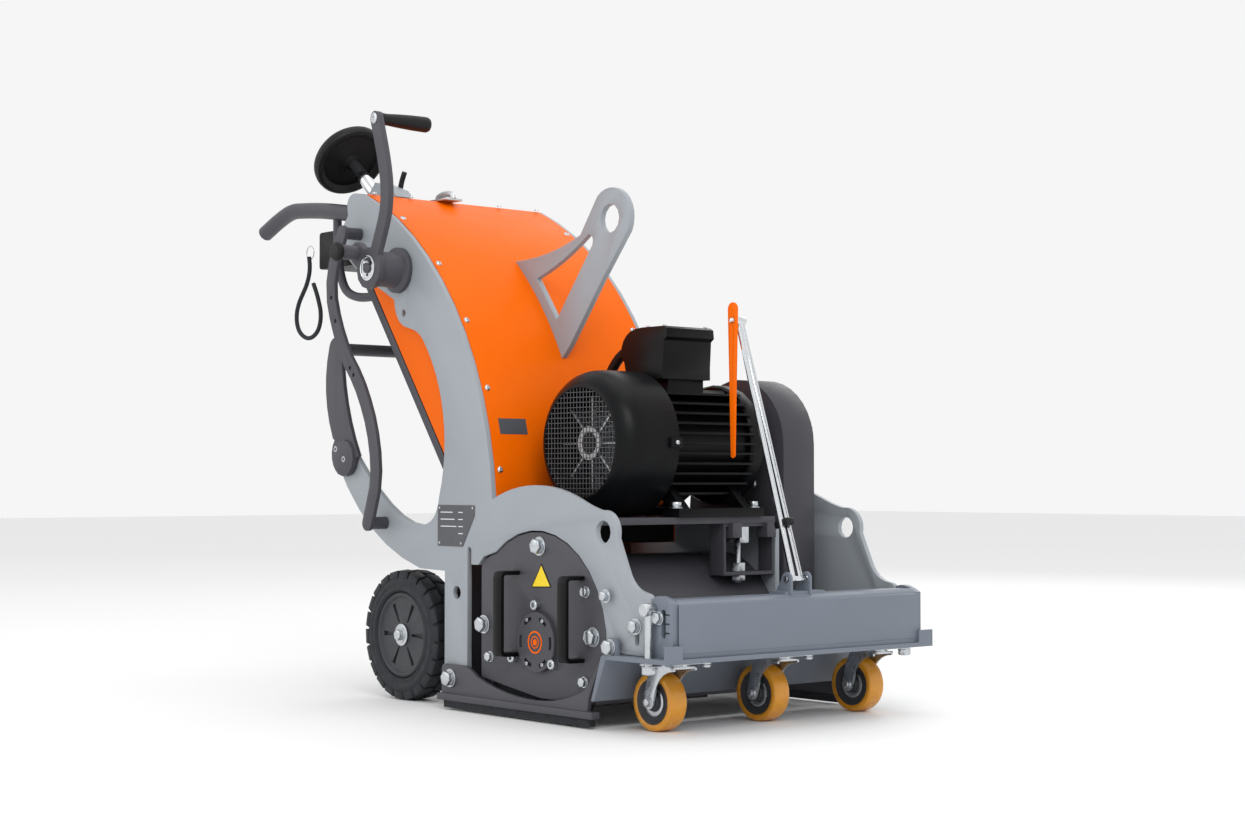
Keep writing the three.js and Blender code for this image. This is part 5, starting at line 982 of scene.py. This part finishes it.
class MILLER_OT_crank_and_index(bpy.types.Operator):
    """Crank disc with its screws, grip and tip cap"""

    bl_idname = "miller.crank_and_index"
    bl_label = "Crank and index bar"

    def execute(self, context):
        out = (0, -1, 0)
        disc = turned("crank_disc", [
            (0, 371.8), (24, 371.8), (24, 374.5), (22.5, 375.6), (20.5, 375.4), (20, 374.2), (5, 374.2),
            (4, 372.8), (0, 372.6)], here(CRANK_X, 0, CRANK_Z), out, 48)
        settle(disc, "crank", "chrome_plate")
        holes = [here(CRANK_X + 13 * math.cos(a), -374.3, CRANK_Z + 13 * math.sin(a))
                 for a in (math.radians(30), math.radians(150), math.radians(270))]
        settle(copied("crank_disc_screws", socket_screw(2.8, 0.8), holes, out), "crank", "black_plastic")
        tip = here(-459, 0, 1109)
        grip = turned("crank_grip_handle", [
            (0, 248), (9, 247.2), (13.4, 249), (15, 253), (15, 262), (14.4, 290), (13, 318), (11.4, 340),
            (11.2, 350), (12, 356), (11, 359), (0, 359)], tip, out, 40)
        settle(grip, "grip", "black_plastic", instead_of=("crank_grip",))
        cap = turned("crank_tip_cap", [(0, 372), (10.5, 372), (10.5, 373.4), (9.5, 374), (3.6, 374),
            (3.6, 372.6),
                                       (0, 372.6)], tip, out, 28)
        settle(cap, "crank", "zinc_plate")
        return {"FINISHED"}


class MILLER_OT_carriage_trim(bpy.types.Operator):
    """Slot bolts, scale marks and nuts of the castor beam"""

    bl_idname = "miller.carriage_trim"
    bl_label = "Carriage trim"

    def execute(self, context):
        panel = block("beam_panel", (313.6, -290, 138), (315.2, 290, 217), 0.7)
        settle(panel, "carriage", "beam_grey_paint")
        for side, tag in ((-1, "near"), (1, "far")):
            out = (0, side, 0)
            pivot = [here(172, side * 316.6, 143)]
            head = 9 if side < 0 else 2.4
            fastened(f"pivot_bolt_{tag}", hexagon_bolt(22, head, 14), pivot, out, "carriage")
            slot = [here(277, side * 300.2, 196)]
            fastened(f"beam_slot_bolt_{tag}", hexagon_bolt(17, 8, 12), slot, out, "carriage")
            marks = [block("mark", (292, side * 300.05 - 0.3, z - 1.2), (303, side * 300.05 + 0.3, z + 1.2),
                0.1, 1)
                     for z in (172, 187, 202)]
            settle(joined(f"depth_marks_{tag}", marks), "carriage", "black_plastic")
            nuts = [here(262, side * 310, 116.2)]
            fastened(f"eyebolt_nut_{tag}", hexagon_bolt(20, 11, 11.8), nuts, (0, 0, -1))
        return {"FINISHED"}


class MILLER_OT_pointer_trim(bpy.types.Operator):
    """Clips and screws of the folding pointer"""

    bl_idname = "miller.pointer_trim"
    bl_label = "Pointer trim"

    def execute(self, context):
        tip = here(152.7, -17.6, 706.2)
        screw = copied("blade_screw", dome_screw(5, 3), [tip], (0, -1, 0))
        settle(screw, "blade", "zinc_plate")
        foot, head = here(295, 0, 252), here(152.7, 0, 706.2)
        nothing_selected()
        bpy.ops.mesh.primitive_cube_add(size=1, scale=(18 * MM, 32 * MM, 12 * MM))
        clip = named(context.object, "pointer_clip")
        edit(clip)
        pick(clip, lambda co, normal: abs(normal.y) > 0.9)
        bpy.ops.mesh.inset(thickness=3 * MM, depth=2.5 * MM)
        bpy.ops.object.mode_set(mode="OBJECT")
        set_at(clip, foot.lerp(head, 0.21), head - foot)
        settle(softened(clip, 1.2), "pointer", "black_plastic")
        return {"FINISHED"}


OPERATORS = (
    MILLER_OT_finishes, MILLER_OT_stage, MILLER_OT_safety_cord, MILLER_OT_rear_wheels, MILLER_OT_castors,
    MILLER_OT_motor, MILLER_OT_hood_trim, MILLER_OT_plate_hardware, MILLER_OT_drum_cover_trim,
    MILLER_OT_belt_guard_trim, MILLER_OT_handlebars, MILLER_OT_handwheel, MILLER_OT_crank_and_index,
    MILLER_OT_carriage_trim, MILLER_OT_pointer_trim, MILLER_OT_cad_finish,
)


class MILLER_PT_pieces(bpy.types.Panel):
    """Builds the machine's pieces one group at a time"""

    bl_label = "Milling machine"
    bl_idname = "MILLER_PT_pieces"
    bl_space_type = "VIEW_3D"
    bl_region_type = "UI"
    bl_category = "Milling machine"

    def draw(self, context):
        for group in (context.scene.machine_sizes, context.scene.machine_colours):
            for name in group.bl_rna.properties.keys():
                if name not in ("rna_type", "name"):
                    self.layout.prop(group, name)
        for operator in OPERATORS:
            self.layout.operator(operator.bl_idname)


CLASSES = (MachineColours, MachineSizes, *OPERATORS, MILLER_PT_pieces)


def register():
    for cls in CLASSES:
        bpy.utils.register_class(cls)
    bpy.types.Scene.machine_colours = bpy.props.PointerProperty(type=MachineColours)
    bpy.types.Scene.machine_sizes = bpy.props.PointerProperty(type=MachineSizes)


def unregister():
    del bpy.types.Scene.machine_sizes
    del bpy.types.Scene.machine_colours
    for cls in reversed(CLASSES):
        bpy.utils.unregister_class(cls)


def main():
    register()
    for operator in OPERATORS:
        getattr(bpy.ops.miller, operator.bl_idname.split(".")[1])()


if __name__ == "__main__":
    main()
